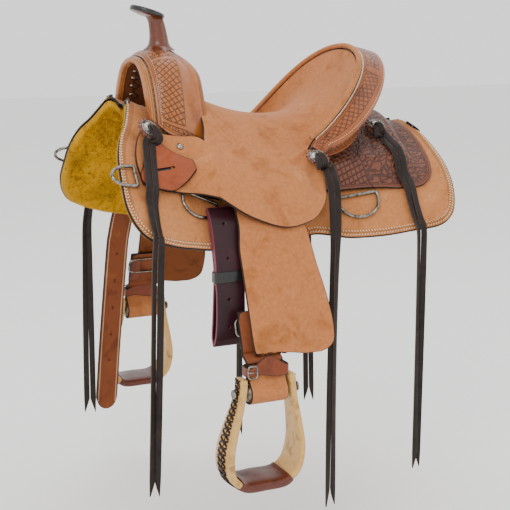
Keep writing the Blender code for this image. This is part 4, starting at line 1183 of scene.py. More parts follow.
@dataclass
class Fork:
    """The fork's cover, the rolled gullet liner with its nails and lacing, and the horn."""

    curves: dict = field(default_factory=lambda: {
        "gullet": ((0.0, 0, 250), (0.2, 27, 245), (0.42, 50, 231), (0.62, 66, 206), (0.82, 76, 176),
                   (1.0, 84, 154)),
        "bead": ((0.0, 0, 265), (0.2, 38, 260), (0.42, 71, 242), (0.62, 95, 208), (0.82, 110, 164),
                 (1.0, 119, 126)),
        "crown": ((0.0, 0, 277), (0.2, 42, 272), (0.42, 80, 252), (0.62, 106, 212), (0.82, 121, 160),
                  (1.0, 128, 118)),
        "rear": ((0.0, 0, 273), (0.2, 37, 260), (0.42, 68, 233), (0.62, 92, 196), (0.82, 112, 152),
                 (1.0, 124, 120)),
    })
    liner: tuple = (("gullet", -171, 3), ("gullet", -215, 0), ("gullet", -258, 0), ("gullet", -272, 6),
                    ("bead", -270, -4), ("bead", -262, 0))
    cover: tuple = (("bead", -260, 1.2), ("crown", -240, 0), ("crown", -206, 1), ("rear", -176, 3.5),
                    ("rear", -164, 0), ("rear", -150, -9))
    thick: float = 3.2
    cap_at: tuple = (-236.0, 0.0, 344.0)
    cap_radius: float = 35.0
    cap_thick: float = 10.0
    tilt: float = 17.7

    def at(self, t: Points, curve: str, x: float, lift: float) -> Points:
        """Points of the fork, each as high and as wide as one of its curves.

        Args:
            t: places from the near foot at -1 to the off foot at 1.
            curve: the curve's name.
            x: the place along the horse.
            lift: how far outside the curve.

        Returns:
            The points.
        """
        u = np.abs(t)
        rows = self.curves[curve]
        y = table_curve([(r[0], r[1]) for r in rows], u)
        z = table_curve([(r[0], r[2]) for r in rows], u) - 0.42 * (x + 232.0) * smooth((u - 0.45) / 0.55)
        place = np.full_like(u, float(x))
        if x > -200.0:
            place = place - 18.0 * (1.0 - smooth(u / 0.45))
        scale = 1.0 + lift / 160.0
        return np.stack([place, np.sign(t) * y * scale, 110.0 + (z - 110.0) * scale], axis=-1)

    def skin(self, loop: Sequence[tuple[str, float, float]], steps: int) -> Points:
        """A fine grid of the fork's surface through a row of its own curves."""
        t = np.linspace(-1.0, 1.0, 161)
        return fair(np.stack([self.at(t, *row) for row in loop]), steps).swapaxes(0, 1)

    def build(self) -> None:
        """Make the fork's leathers, its nails and the horn."""
        cover = self.skin(self.cover, 12)
        down = np.abs(np.linspace(-1.0, 1.0, cover.shape[0]))[:, None]
        over = np.linspace(0.0, 1.0, cover.shape[1])[None, :]
        panel = smooth((down - 0.36) / 0.03) * smooth((0.90 - down) / 0.03)
        panel = panel * smooth((over - 0.10) / 0.03) * smooth((0.42 - over) / 0.03)
        floral = (smooth((0.33 - down) / 0.03) * smooth((0.62 - over) / 0.04)
                  + smooth((down - 0.91) / 0.03) * smooth((over - 0.1) / 0.04))
        sheet("swell_cover_hide", cover, (0, 0, 1), self.thick, SWELL, "saddle", ["swell_cover"],
              zones={"basket": panel, "floral": np.clip(floral, 0.0, 1.0)})
        liner = self.skin(self.liner, 9)
        # The lining's dark finish is painted shade inside the gullet.
        sheet("gullet_tunnel_hide", liner[:, :20], (0, 0, -1), self.thick, GULLET_SHADE, "saddle",
              slot="gullet_liner", edge=0.6)
        sheet("gullet_liner_hide", liner[:, 19:], (-1, 0, -1), self.thick, ROLL, "saddle", ["gullet_liner"])
        ways = ways_of(cover, (0, 0, 1))
        row = stitch_shapes(cover[3:-3, 6], ways[3:-3, 6], 3.2, 1.6, 0.5)
        add_piece("swell_cover_stitching", *row, THREAD, "saddle", slot="swell_cover")
        self.nails()
        self.horn()

    def nails(self) -> None:
        """Four dome nails down each wall of the gullet, with a thong laced between them."""
        nails, thongs = [], []
        for side in (-1, 1):
            spots = self.at(np.array([0.40, 0.53, 0.66, 0.79]) * side, "gullet", -246.0, 1.0)
            for spot in spots:
                inward = np.array([0.0, -side, -0.25])
                nails.append(turned_shape([(4.2, -1.0), (4.2, 0.4), (3.4, 2.0), (1.6, 3.0), (0.3, 3.3)], spot,
                                          inward, 16))
            walk = []
            for k in np.linspace(0.36, 0.84, 34):
                x = -237.0 + 6.5 * math.sin((k - 0.36) * math.tau / 0.13)
                spot = self.at(np.array([k * side]), "gullet", x, 1.0)[0]
                walk.append(spot + np.array([0.0, -side * 1.4, -0.3]))
            thongs.append(tube_shape(fair(np.array(walk), 3), 1.7, 8, False, 0.6))
        add_piece("gullet_nails", *join(nails), NICKEL, "saddle", slot="gullet_liner")
        add_piece("gullet_thong", *join(thongs), THONG, "saddle", slot="gullet_liner")

    def horn(self) -> None:
        """The leathered neck, the cap and its black binding."""
        rows = [(275.0, -211, 33.0, 0.0), (279.5, -211, 27.5, 0.0), (284, -211, 23.0, 0.0),
                (291, -211, 19.8, 0.0),
                (303, -211.5, 18.2, 0.0), (319, -213.5, 17.0, 0.10), (330, -216, 17.2, 0.24),
                (338, -221, 20.0, 0.319), (342, -228, 25.5, 0.319)]
        rings = []
        for z, x, r, lean in fair(np.array(rows), 5):
            turns = np.linspace(0.0, math.tau, 49)
            # The wet-moulded collar is puckered where it meets the swell.
            r = r * (1.0 + 0.055 * max(0.0, (284.0 - z) / 9.0) * np.cos(8 * turns))
            rings.append(np.stack([x + r * np.cos(turns), r * np.sin(turns), z - lean * r * np.cos(turns)],
                                  axis=1))
        add_piece("horn_neck_hide", *lofted(np.array(rings)[:, :-1]), NECK, "saddle", ["horn_neck_cover"])
        axis = np.array([math.sin(math.radians(self.tilt)), 0.0, math.cos(math.radians(self.tilt))])
        at, r, t = np.array(self.cap_at), self.cap_radius, self.cap_thick
        disc = turned_shape([(r - 13, -2.2), (r - 5, 0.2), (r - 3, 2.0), (r - 3, t - 1.5), (r - 5, t),
                             (r * 0.4, t + 0.5), (1.0, t + 0.7)], at, axis, 64)
        add_piece("horn_cap_hide", *disc, NECK, "saddle", ["horn_cap"])
        turns = np.linspace(0.0, math.tau, 96, endpoint=False)
        u = np.array(Vector(axis).orthogonal().normalized())
        v = np.cross(axis, u)
        ring = at + axis * t / 2 + (np.cos(turns)[:, None] * u + np.sin(turns)[:, None] * v) * (r - 3.4)
        points = []
        outline = [(-1.5, -4.6), (1.6, -4.7), (3.0, -3.4), (3.4, 0.0), (3.1, 3.4), (1.4, 5.0), (-1.8, 5.2),
                   (-2.6, 3.0)]
        for k, a in enumerate(turns):
            out = u * math.cos(a) + v * math.sin(a)
            points += [ring[k] + out * p + axis * q for p, q in outline]
        faces = ring_faces(len(turns), len(outline), closed=True)
        add_piece("horn_binding_hide", points, faces, BLACK_AND_SHADE, "saddle", ["horn_cap_binding"])


@dataclass
class Cantle:
    """The cantle's stamped back and its binding roll."""

    rim: tuple = (40.6, 167.4, 169.4, 105.8, 175.0, 0.57, 0.69)
    outer: tuple = (69.0, 199.0, 182.7, 91.0, 177.0, 0.55, 0.93)
    base: tuple = (75.0, 130.0, 166.0, 66.0, 75.0, 0.55, 1.0)
    binding: float = 5.5

    @staticmethod
    def arc(curve: Sequence[float], t: Points) -> Points:
        """Points of one of the cantle's arcs.

        Args:
            curve: its foot and reach, half width, foot and rise, and two powers that square it off.
            t: places from -1 at the near end to 1 at the off end.

        Returns:
            The points.
        """
        x, reach, wide, z, high, px, pz = curve
        a = np.asarray(t) * math.pi / 2
        c = np.maximum(np.cos(a), 0.0)
        return np.stack([x + reach * c**px, wide * np.sin(a), z + high * c**pz], axis=-1)

    def build(self) -> None:
        """Make the back and the binding."""
        u = np.linspace(-1.0, 1.0, 201)
        t = np.sign(u) * (1.0 - (1.0 - np.abs(u)) ** 1.6)
        rim, outer, base = (self.arc(c, t) for c in (self.rim, self.outer, self.base))
        c = np.cos(t * math.pi / 2)[:, None]
        # Each end runs on down behind the seat's concho.
        run = np.clip((np.abs(u) - 0.975) / 0.025, 0.0, 1.0)[:, None]
        fall = run * np.array([-9.0, 0.0, -16.0]) + run * np.sign(u)[:, None] * np.array([0.0, 5.0, 0.0])
        rim, outer, base = rim + fall, outer + fall, base + fall * 0.5
        out = unit_rows(outer - rim)
        rows = np.stack([
            rim + out * (self.binding + 2.0),
            rim * 0.62 + outer * 0.38 + np.array([0, 0, 3.0]),
            rim * 0.25 + outer * 0.75 + np.array([0, 0, 2.5]),
            outer,
            outer + np.array([-6.0, 0, -12.0]),
            outer * 0.6 + base * 0.4 + c * np.array([-14.0, 0, 0]),
            outer * 0.25 + base * 0.75 + c * np.array([-10.0, 0, 0]),
            base,
        ])
        grid = fair(rows, 8).swapaxes(0, 1)
        over = np.arange(grid.shape[1])[None, :]
        strip = (smooth((over - 3.0) / 1.5) * smooth((17.5 - over) / 1.5)
                 + smooth((over - 28.0) / 2.0) * smooth((50.0 - over) / 2.0))
        basket = smooth((np.abs(t) - 0.52) / 0.04)[:, None] * strip
        floral = smooth((0.48 - np.abs(t)) / 0.04)[:, None] * strip
        sheet("cantle_back_hide", grid, (0.5, 0, 1), 3.2, BACK, "saddle", ["cantle_back_cover"],
              zones={"basket": basket, "floral": floral})
        ways = ways_of(grid, (0.5, 0, 1))
        lacing = [stitch_shapes(grid[2:-2, 1], ways[2:-2, 1], 4.6, 1.4, 0.95, slant=0.5),
                  stitch_shapes(grid[2:-2, 22], ways[2:-2, 22], 3.4, 1.6, 0.5)]
        add_piece("cantle_lacing", *join(lacing), THREAD, "saddle", slot="cantle_binding")
        tube("cantle_roll", self.arc(self.rim, t), self.binding, ROUGHOUT, "saddle", ["cantle_binding"],
             sides=16)
        out_line = self.arc(self.rim, t) + out * (self.binding + 0.6)
        tube("cantle_cord", out_line[3:-3], 1.3, BLACK_AND_SHADE, "saddle", slot="cantle_binding", sides=8)


@dataclass
class Seat:
    """The roughout seat in one hide, with its front and side jockeys, and the keeper and screws on it."""

    thick: float = 5.0

    def keys(self, side: Side) -> tuple[list, list]:
        """The seat's own curves from the middle to its lower edge.

        Args:
            side: near or off.

        Returns:
            The body's curves and the arms' curves.
        """
        rim = Cantle().rim

        def on(x: float, s: float, h: float) -> Points:
            """A point above the form."""
            return FORM.at(x, s, h, side)

        def at(x: float, y: float, z: float) -> Points:
            """A point in the saddle's own frame, as on the near side."""
            return np.array([x, -side.value * y, z], float)

        def jock(x: float, s: float) -> Points:
            """A point of the front jockey's face."""
            return FORM.at(x, s, FORM.front(np.array(float(x)), np.array(float(s))) + self.thick, side)

        def edge(t: float, below: Points) -> Points:
            """The seat's end, where it meets the binding roll.

            Args:
                t: the place along the cantle's rim.
                below: the point before it.

            Returns:
                The point.
            """
            near, p, past = (Cantle.arc(rim, np.array(v)) for v in (t - 0.02, t, t + 0.02))
            way = np.array([below[0], below[1] * side.value, below[2]]) - p
            run = (past - near) / np.linalg.norm(past - near)
            way = way - run * way.dot(run)
            p = p + way / np.linalg.norm(way) * (Cantle().binding + 2.4)
            return np.array([p[0], side.value * p[1], p[2]])

        body = [
            [at(-164, 0, 196), at(-110, 0, 170), at(-40, 0, 150), at(35, 0, 143), at(100, 0, 154),
             at(155, 0, 191), edge(0, at(155, 0, 191))],
            [on(-163, 40, 60), on(-110, 40, 55), on(-40, 40, 51), on(35, 40, 51), at(98, -60, 146),
             at(150, -62, 184), edge(0.245, at(150, -62, 184))],
            [on(-166, 76, 57), on(-110, 80, 55), on(-40, 80, 52), on(33, 80, 53), at(88, -111, 116),
             at(134, -116, 162), edge(0.5, at(134, -112, 162))],
            [on(-170, 108, 56), on(-110, 120, 55), on(-40, 120, 53), on(28, 120, 54), at(74, -140, 92),
             at(104, -149, 132), edge(0.73, at(104, -140, 132))],
            [on(-179, 140, 57), on(-110, 160, 57), on(-45, 160, 56), on(5, 158, 56), at(24, -169, 64),
             at(35, -168, 80), at(42, -166, 93)],
            [jock(-168, 160), on(-111, 181, 58), on(-47, 184, 58), on(4, 180, 57), at(25, -178, 58),
             at(38, -177, 71), at(47, -176, 82)],
            [jock(-171, 184), on(-113, 206, 60), on(-48, 210, 60), on(4, 203, 58), at(27, -187, 50),
             at(41, -186, 60), at(51, -184, 70)],
            [jock(-174, 219), on(-120, 246, 62), on(-52, 252, 62), on(2, 240, 59), at(32, -206, 18),
             at(47, -205, 28), at(57, -200, 42)],
            [jock(-182, 258), on(-126, 280, 63), on(-58, 291, 64), on(2, 274, 61), on(30, 254, 56),
             on(46, 236, 52), on(57, 214, 46)],
        ]
        arms = [
            [jock(-291, 138), jock(-262, 136), jock(-228, 134), jock(-194, 134)],
            [jock(-302, 156), jock(-265, 162), jock(-229, 162), jock(-196, 160)],
            [jock(-314, 184), jock(-269, 190), jock(-230, 190), jock(-199, 188)],
            [jock(-321, 222), jock(-273, 226), jock(-234, 224), jock(-204, 222)],
            [jock(-317, 268), jock(-276, 263), jock(-240, 256), jock(-210, 256)],
        ]
        return body, arms

    def build(self) -> None:
        """Make the seat hide, the keeper and the screws."""
        rows, arm_rows, steps = 73, 41, 5
        half = {}
        for side in Side:
            body, arms = self.keys(side)
            columns = [spaced(line, rows) for line in body]
            wings = [spaced(arms[k] + [body[k + 4][0]], arm_rows) for k in range(5)]
            half[side] = (columns, wings)
        across = [*half[Side.NEAR][0][::-1], *half[Side.OFF][0][1:]]
        main = fair(np.array(across), steps)
        count = len(main)
        wing_grids = {}
        for side in Side:
            line = half[side][1] if side is Side.OFF else half[side][1][::-1]
            wing_grids[side] = fair(np.array(line), steps)
        span = 4 * steps + 1
        grid = np.zeros((arm_rows - 1 + rows, count, 3))
        grid[arm_rows - 1:] = main.swapaxes(0, 1)
        grid[: arm_rows - 1] = grid[arm_rows - 1]
        first = grid[arm_rows - 1]
        for side, place in ((Side.NEAR, slice(0, span)), (Side.OFF, slice(count - span, count))):
            wing = wing_grids[side].swapaxes(0, 1)
            ease = smooth((np.arange(arm_rows) - arm_rows + 9) / 8.0)[:, None, None]
            wing = wing + (first[place] - wing[-1]) * ease
            grid[: arm_rows - 1, place] = wing[:-1]

        def keep(i: int, j: int) -> bool:
            """Whether a cell is leather: all of the body, and the arms at its two sides."""
            return i >= arm_rows - 1 or j < span - 1 or j >= count - span

        piece = sheet("seat_hide", grid, (0, 0, 1), self.thick, ROUGHOUT, "saddle", ["seat_leather"],
                      keep=keep)
        relax = piece.modifiers.new("fair", "SMOOTH")
        relax.iterations, relax.factor = 1, 0.3
        bpy.context.view_layer.objects.active = piece
        piece.modifiers.move(2, 0)
        self.keeper()
        self.screws()

    def keeper(self) -> None:
        """The latigo keeper on the near front jockey, with its slot and a black sheet under it as painted
        shadow.
        """
        low = ((-322, 252), (-321, 268), (-306, 273), (-288, 270), (-262, 262), (-243, 246), (-226, 228),
               (-212, 210))
        high = ((-312, 232), (-304, 205), (-298, 180), (-290, 160), (-279, 152), (-268, 166), (-245, 178),
                (-214, 192))
        a, b = spaced(low, 90)[:, None], spaced(high, 90)[:, None]
        plan = a + (b - a) * np.linspace(0.0, 1.0, 40)[None, :, None]
        x, s = plan[..., 0], plan[..., 1]
        grid = FORM.at(x, s, FORM.front(x, s) + self.thick + 7.6, Side.NEAR)
        piece = sheet("keeper_hide", grid, (0, -0.7, 0.7), 3.6, RUSSET, "saddle", ["latigo_keeper_near"],
                      flat=plan)
        ends = [FORM.at(px, ps, FORM.front(np.array(px), np.array(ps)) + self.thick + 6.2, Side.NEAR)
                for px, ps in ((-296.0, 236.0), (-250.0, 209.0))]
        run = (ends[1] - ends[0]) / np.linalg.norm(ends[1] - ends[0])
        up = np.array([0.0, -0.82, 0.57])
        up = up - run * up.dot(run)
        up /= np.linalg.norm(up)
        wide = np.cross(run, up) * 2.9
        outline = []
        for end, start in ((ends[1], -90), (ends[0], 90)):
            outline += [end + run * 2.9 * math.cos(math.radians(v)) + wide * math.sin(math.radians(v))
                        for v in range(start, start + 181, 20)]
        n = len(outline)
        points = [p + up * h for h in (-14.0, 14.0) for p in outline]
        faces = [tuple(range(n))[::-1], tuple(range(n, 2 * n))]
        faces += [(k, (k + 1) % n, n + (k + 1) % n, n + k) for k in range(n)]
        punch(piece, [(points, faces)])
        # Painted shadow: a black sheet under the slot stands in for the shade in the gap.
        patch = self.patch(ends, run, up, wide)
        sheet("keeper_pocket", patch, (0, -0.7, 0.7), 0.8, BLACK_AND_SHADE, "saddle", slot="latigo_keeper_near",
              edge=0.2)

    @staticmethod
    def patch(ends: Sequence[Points], run: Points, up: Points, wide: Points) -> Points:
        """The painted shadow under the keeper's slot: a black sheet, as a small grid."""
        along = np.linspace(-0.08, 1.08, 12)[:, None, None] * (ends[1] - ends[0])
        return ends[0] - up * 3.0 + along + np.linspace(-2.2, 2.2, 7)[None, :, None] * wide

    def screws(self) -> None:
        """A chromed screw with its washer through each front jockey."""
        heads = []
        for side in Side:
            x, s = -226.0, 160.0
            spot = FORM.at(x, s, FORM.front(np.array(x), np.array(s)) + self.thick, side)
            up = np.array([0.25, side.value * 0.66, 0.7])
            heads.append(turned_shape([(7.6, -1.0), (7.6, 0.9), (5.8, 1.3), (5.4, 2.6), (3.4, 4.0),
                                       (0.4, 4.4)], spot, up, 28))
        add_piece("jockey_screws", *join(heads), NICKEL, "saddle", slot="seat_leather")


@dataclass
class Rings:
    """One side's front ring, rear dee and breast dee."""

    side: Side

    def dee(self, name: str, body: str, bar: Sequence[tuple[float, float]], reach: float, wire: float,
            front: bool) -> None:
        """A dee that lies on the skirt, from its straight bar out to its bow.

        Args:
            name: the frame's node.
            body: the body that it rides on.
            bar: the bar's two ends on the form.
            reach: how far the bow goes.
            wire: the wire's radius.
            front: whether the bow points forward.
        """
        height = FORM.skirt + 0.4 + wire + 1.8
        (x0, s0), (x1, s1) = bar
        mid_x, mid_s, half = (x0 + x1) / 2, (s0 + s1) / 2, math.hypot(x1 - x0, s1 - s0) / 2
        a, b = (FORM.at(x, s, height, self.side) for x, s in bar)
        centre, along = (a + b) / 2, (b - a) / np.linalg.norm(b - a)
        far = FORM.at(mid_x - (reach if front else 0), mid_s + (0 if front else reach), height,
                      self.side) - centre
        out = far - along * far.dot(along)
        out /= np.linalg.norm(out)
        bow = [(half * math.cos(v), reach * math.sin(v) ** 0.75) for v in np.linspace(0.0, math.pi, 160)]
        plane = spaced([(-half, 0.0), (half, 0.0), *bow[1:]], 121, curved=False)[:-1]
        for _ in range(5):
            plane = (np.roll(plane, 1, axis=0) + 2.0 * plane + np.roll(plane, -1, axis=0)) / 4.0
        path = centre + plane[:, :1] * along + plane[:, 1:] * out
        tube(f"{name}_wire", path, wire, NICKEL, body, [name], sides=12, closed=True)

    def build(self) -> None:
        """Make the rings."""
        word = self.side.word
        self.dee(f"front_ring_{word}", "saddle", ((-240, 246), (-166, 246)), 41.6, 3.0, False)
        self.dee(f"rear_dee_{word}", f"rear_dee_{word}", ((92, 218), (184, 218)), 49.0, 3.2, False)
        self.dee(f"breast_dee_{word}", f"breast_dee_{word}", ((-330, 234), (-330, 276)), 47.0, 3.2, True)


@dataclass
class Latigo:
    """The folded latigo on the near side, held by a black keeper."""

    path: tuple = ((-12, 204, 10), (-20, 209.5, 12), (-35, 220, 15), (-50, 227, 17), (-80, 240, 17),
                   (-112, 252, 16),
                   (-124, 255, 15), (-146, 257, 15), (-165, 258, 20), (-215, 259, 25), (-248, 259, 23),
                   (-265, 263, 12))
    width: float = 57.0
    strap: float = 4.4
    slack: float = 1.4

    def across(self, z: Points) -> tuple[Points, Points, Points]:
        """The fold's place at some heights.

        Args:
            z: the heights.

        Returns:
            Its middle x, its inner y and its depth.
        """
        inner = table_curve([(-r[0], r[1]) for r in self.path], -z)
        deep = table_curve([(-r[0], r[2]) for r in self.path], -z) - self.slack
        return -171.0 + (16.0 + z) * 0.05, inner, deep

    def layer(self, share: float, top: float, bottom: float, count: int) -> Points:
        """The line of one layer of the fold.

        Args:
            share: its place in the fold's depth, 0 at the horse and 1 outside.
            top: the height where it starts.
            bottom: the height where it ends.
            count: how many points it has.

        Returns:
            The points.
        """
        z = np.linspace(top, bottom, count)
        x, inner, deep = self.across(z)
        half = self.strap / 2
        return np.stack([x, -(inner + half + (deep - 2 * half) * share), z], axis=1)

    def build(self) -> None:
        """Make the fold's straps, the holes and the keeper."""
        outer = self.layer(1.0, -13.0, -252.0, 60)
        inner = self.layer(0.0, -252.0, -16.0, 60)
        turn = fair(np.array([outer[-1], (outer[-1] + inner[0]) / 2 + np.array([-0.6, 0.0, -12.5]),
                              inner[0]]), 10)
        big = np.concatenate([outer[:-1], turn, inner[1:]])
        small = self.layer(0.52, -15.0, -150.0, 40)
        for name, line, nodes in (("latigo_fold", big, ["latigo_near"]), ("latigo_tail", small, [])):
            wide = np.linspace(-0.5, 0.5, 15) * self.width
            grid = line[:, None, :] + wide[None, :, None] * np.array([1.0, 0.0, 0.0])
            piece = sheet(name, grid, (0, -1, 0), self.strap, LATIGO, "latigo", nodes, "latigo_near",
                          centred=True, edge=1.0)
            if nodes:
                holes = []
                for z in (-40.0, -101.0, -176.0, -228.0):
                    x, near, deep = self.across(np.array(z))
                    spot = np.array([float(x) - 3.0, -(float(near) + float(deep)) - 6.0, z])
                    holes.append(turned_shape([(3.0, 0.0), (3.0, 11.0)], spot, (0, 1, 0), 16))
                baked(piece)
                punch(piece, holes)
        x, near, deep = self.across(np.array([-125.0, -145.0]))
        rings, clear = [], 2.6
        for z in np.linspace(-125.0, -145.0, 9):
            cx, cy, cd = (float(np.interp(-z, [125.0, 145.0], v)) for v in (x, near, deep))
            box = rounded_box(self.width / 2 + clear, cd / 2 + clear, 3.0, 18)
            rings.append([(cx + a, -(cy + cd / 2 + b), z) for a, b in box])
        sheet("latigo_band_hide", np.array(rings), (0, 0, 0), 2.0, BLACK_AND_SHADE, "latigo", ["latigo_band_near"],
              edge=0.6)


@dataclass
class Billet:
    """The off billet: a flat strap with stitched edges and five holes."""

    end: float = -550.0
    width: float = 50.0
    thick: float = 6.0

    def build(self) -> None:
        """Make the strap, its holes and its stitching."""
        keys = [(-200.0, 226.0, -30.0), (-205.0, 244.0, -66.0), (-210.0, 259.0, -100.0),
                (-216.0, 267.0, -140.0),
                (-221.0, 270.0, -180.0), (-240.0, 272.0, -370.0), (-252.0, 272.0, self.end + 46),
                (-254.0, 272.0, self.end + 20), (-255.5, 272.0, self.end + 6), (-256.0, 272.0, self.end)]
        shares = [0.5, 0.5, 0.5, 0.5, 0.5, 0.5, 0.5, 0.45, 0.3, 0.1]
        line = fair(np.array([(*p, w) for p, w in zip(keys, shares)]), 14)
        ways = headings(line[:, :3])
        across = unit_rows(np.array([1.0, 0, 0]) - ways * ways[:, :1])
        spread = np.linspace(-1.0, 1.0, 17)
        grid = line[:, None,
                    :3] + across[:, None] * (np.minimum(line[:, 3:4], 0.5) * self.width * spread)[..., None]
        piece = sheet("billet_hide", grid, (0, 1, 0), self.thick, BILLET, "off_billet", ["off_billet"],
                      centred=True)
        baked(piece)
        holes = []
        for k in range(5):
            z = -186.0 - 62.0 * k
            f = (-180.0 - z) / 190.0
            spot = np.array([-221.0 - 19.0 * f, 270.0 + 2.0 * min(f, 1.0), z])
            for start in (-11.0, 0.7):
                holes.append(turned_shape([(2.9, start), (2.9, start + 10.3)], spot, (0, 1, 0), 18))
        punch(piece, holes)
        out = np.cross(across, ways)
        out *= np.sign(out[:, 1:2])
        rows = []
        for face in (-1, 1):
            for edge in (-1, 1):
                path = line[4:-24, :3] + across[4:-24] * (edge * (self.width / 2 - 5.0)) + out[4:-24] * (
                    face * self.thick / 2)
                rows.append(stitch_shapes(path, out[4:-24] * face, 4.6, 2.4, 0.7, 0.7 * edge))
        add_piece("billet_stitching", *join(rows), THREAD, "off_billet", slot="off_billet")


@dataclass
class FenderAndStirrup:
    """One side's fender, stirrup leather, buckles, hobble strap and stirrup."""

    side: Side
    lean: float = 20.1
    bottom: float = -281.0
    at_x: float = -140.0
    at_y: float = 346.0
    bolt_z: float = -338.0
    strap: float = 74.0
    drop: float = 172.0
    bar: float = 14.0
    spool: float = 16.0

    def plane(self, z: float) -> float:
        """The fender's y at a height."""
        return 254.0 + (-50.0 - z) * math.tan(math.radians(self.lean))

    def out(self, face: float = 1.0) -> Way:
        """The fender's outward way."""
        a = math.radians(self.lean)
        return (0.0, face * self.side.value * math.cos(a), face * math.sin(a))

    def build(self) -> None:
        """Make the side's pieces."""
        self.fender()
        self.leather()
        self.hobble()
        self.stirrup()

    def fender(self) -> None:
        """The roughout fender, from its strap over the bar down to its square foot."""
        s, word = self.side.value, self.side.word
        hinge = FORM.at(-112.0, 150.0, FORM.bar_top(np.array(-112.0)) + 8.5, self.side)
        top = FORM.at(-112.0, 126.0, FORM.bar_top(np.array(-112.0)) + 10.5, self.side)
        knee = np.array([-112.0, s * self.plane(-50.0), -50.0])
        rows = [(top, -32, 34), (hinge, -33, 36), (hinge + (knee - hinge) * 0.45, -34, 40),
                (hinge + (knee - hinge) * 0.8, -36, 70), (knee, -40, 97)]
        for z, left, right in [(-85, -45, 105), (-125, -45, 111), (-170, -45, 120), (-215, -45, 126),
                               (-245, -45, 126), (self.bottom + 17, -44, 122), (self.bottom + 6, -42, 110),
                               (self.bottom, -38, 92)]:
            rows.append((np.array([-112.0, s * self.plane(z), z]), left, right))
        line = fair(np.array([(*p, a, b) for p, a, b in rows]), 12)
        k = np.linspace(0.0, 1.0, 41)
        x = line[:, 3:4] + (line[:, 4:5] - line[:, 3:4]) * k
        grid = np.stack([line[:, 0:1] + x, np.repeat(line[:, 1:2], 41, 1), np.repeat(line[:, 2:3], 41, 1)],
                        axis=-1)
        rise = np.interp(k, [0, 0.25, 0.5, 0.75, 1.0], [10.5, 10.5, 7.0, 1.5, 1.0])
        last = np.interp(np.arange(len(line)), [12 * 10, 12 * 11, 12 * 12], [0.0, 0.25, 1.0])
        a = math.radians(self.lean)
        grid = grid - (last[:, None] * rise)[..., None] * np.array([0.0, s * math.sin(a), -math.cos(a)])
        # The darker lining is partly its own colour and partly painted shade on the fender's inner face.
        sheet(f"fender_{word}_hide", grid, self.out(), 4.2, ROUGHOUT, f"fender_{word}", [f"fender_{word}"],
              centred=True, lining=INNER_FACE_AND_SHADE)

    def leather(self) -> None:
        """The stirrup leather round the spool, and its post buckle."""
        s, word, y0, z0 = self.side.value, self.side.word, self.at_y, self.bolt_z
        behind = 2.5 / math.cos(math.radians(self.lean)) + 0.8
        loop = self.spool + 1.0 + 2.75
        wrap = [(y0 + loop * math.sin(a), z0 - loop * math.cos(a))
                for a in np.radians(np.linspace(118, -118, 19))]
        neck, bend, top = self.bottom - 24.0, self.bottom + 13.0, -196.0
        path = [(y0 + 4.2, neck + 19), (y0 + 4.2, neck - 3), (y0 + 9.0, neck - 13.0), *wrap,
                (y0 - 9.0, neck - 13.0),
                (y0 - 4.4, neck - 3), (y0 - 4.4, neck + 19), (y0 - 11.0, bend - 11.0),
                (self.plane(bend) - behind - 8.5, bend - 3.0),
                (self.plane(bend + 10) - behind - 5.8, bend + 10.0), (self.plane(top) - behind - 5.8, top)]
        line = fair(np.array(path), 4)
        wide = self.at_x + np.linspace(-0.5, 0.5, 15) * self.strap
        grid = np.stack([np.broadcast_to(wide, (len(line), 15)), np.repeat(s * line[:, 0:1], 15, 1),
                         np.repeat(line[:, 1:2], 15, 1)], axis=-1)
        lower = 4 * 24
        sheet(f"stirrup_leather_{word}_hide", grid[: lower + 1], (0, 0, 0), 5.5, ROUGHOUT, f"fender_{word}",
              [f"stirrup_leather_{word}"], centred=True)
        sheet(f"stirrup_leather_{word}_top", grid[lower:], (0, 0, 0), 5.5, BILLET, f"fender_{word}",
              slot=f"stirrup_leather_{word}", centred=True)
        z = -226.0
        mid = np.array([self.at_x, s * (self.plane(z) - behind - 5.8 - 2.75 - 2.8), z])
        a = math.radians(self.lean)
        up = np.array([0.0, -s * math.sin(a), math.cos(a)])
        turns = [squared_turn(v, 0.45) for v in np.linspace(0.0, math.tau, 64, endpoint=False)]
        ring = [mid + np.array([a * 41.0, 0, 0]) + up * b * 17.5 for a, b in turns]
        tube(f"leather_buckle_{word}_wire", np.array(ring), 2.3, NICKEL, f"fender_{word}",
             [f"leather_buckle_{word}"], closed=True)
        # The strap's stitched tail under the buckle
        tail = [(self.plane(v) - behind - 11.5, v) for v in (-212.0, -240.0, -262.0)]
        tail = fair(np.array(tail), 8)
        wide = self.at_x - 37.0 + np.linspace(0.0, 24.0, 9)
        grid = np.stack([np.broadcast_to(wide, (len(tail), 9)), np.repeat(s * tail[:, 0:1], 9, 1),
                         np.repeat(tail[:, 1:2], 9, 1)], axis=-1)
        sheet(f"buckle_tail_{word}", grid, self.out(-1.0), 3.0, STRAP, f"fender_{word}",
              slot=f"hobble_strap_{word}", centred=True, edge=0.8)

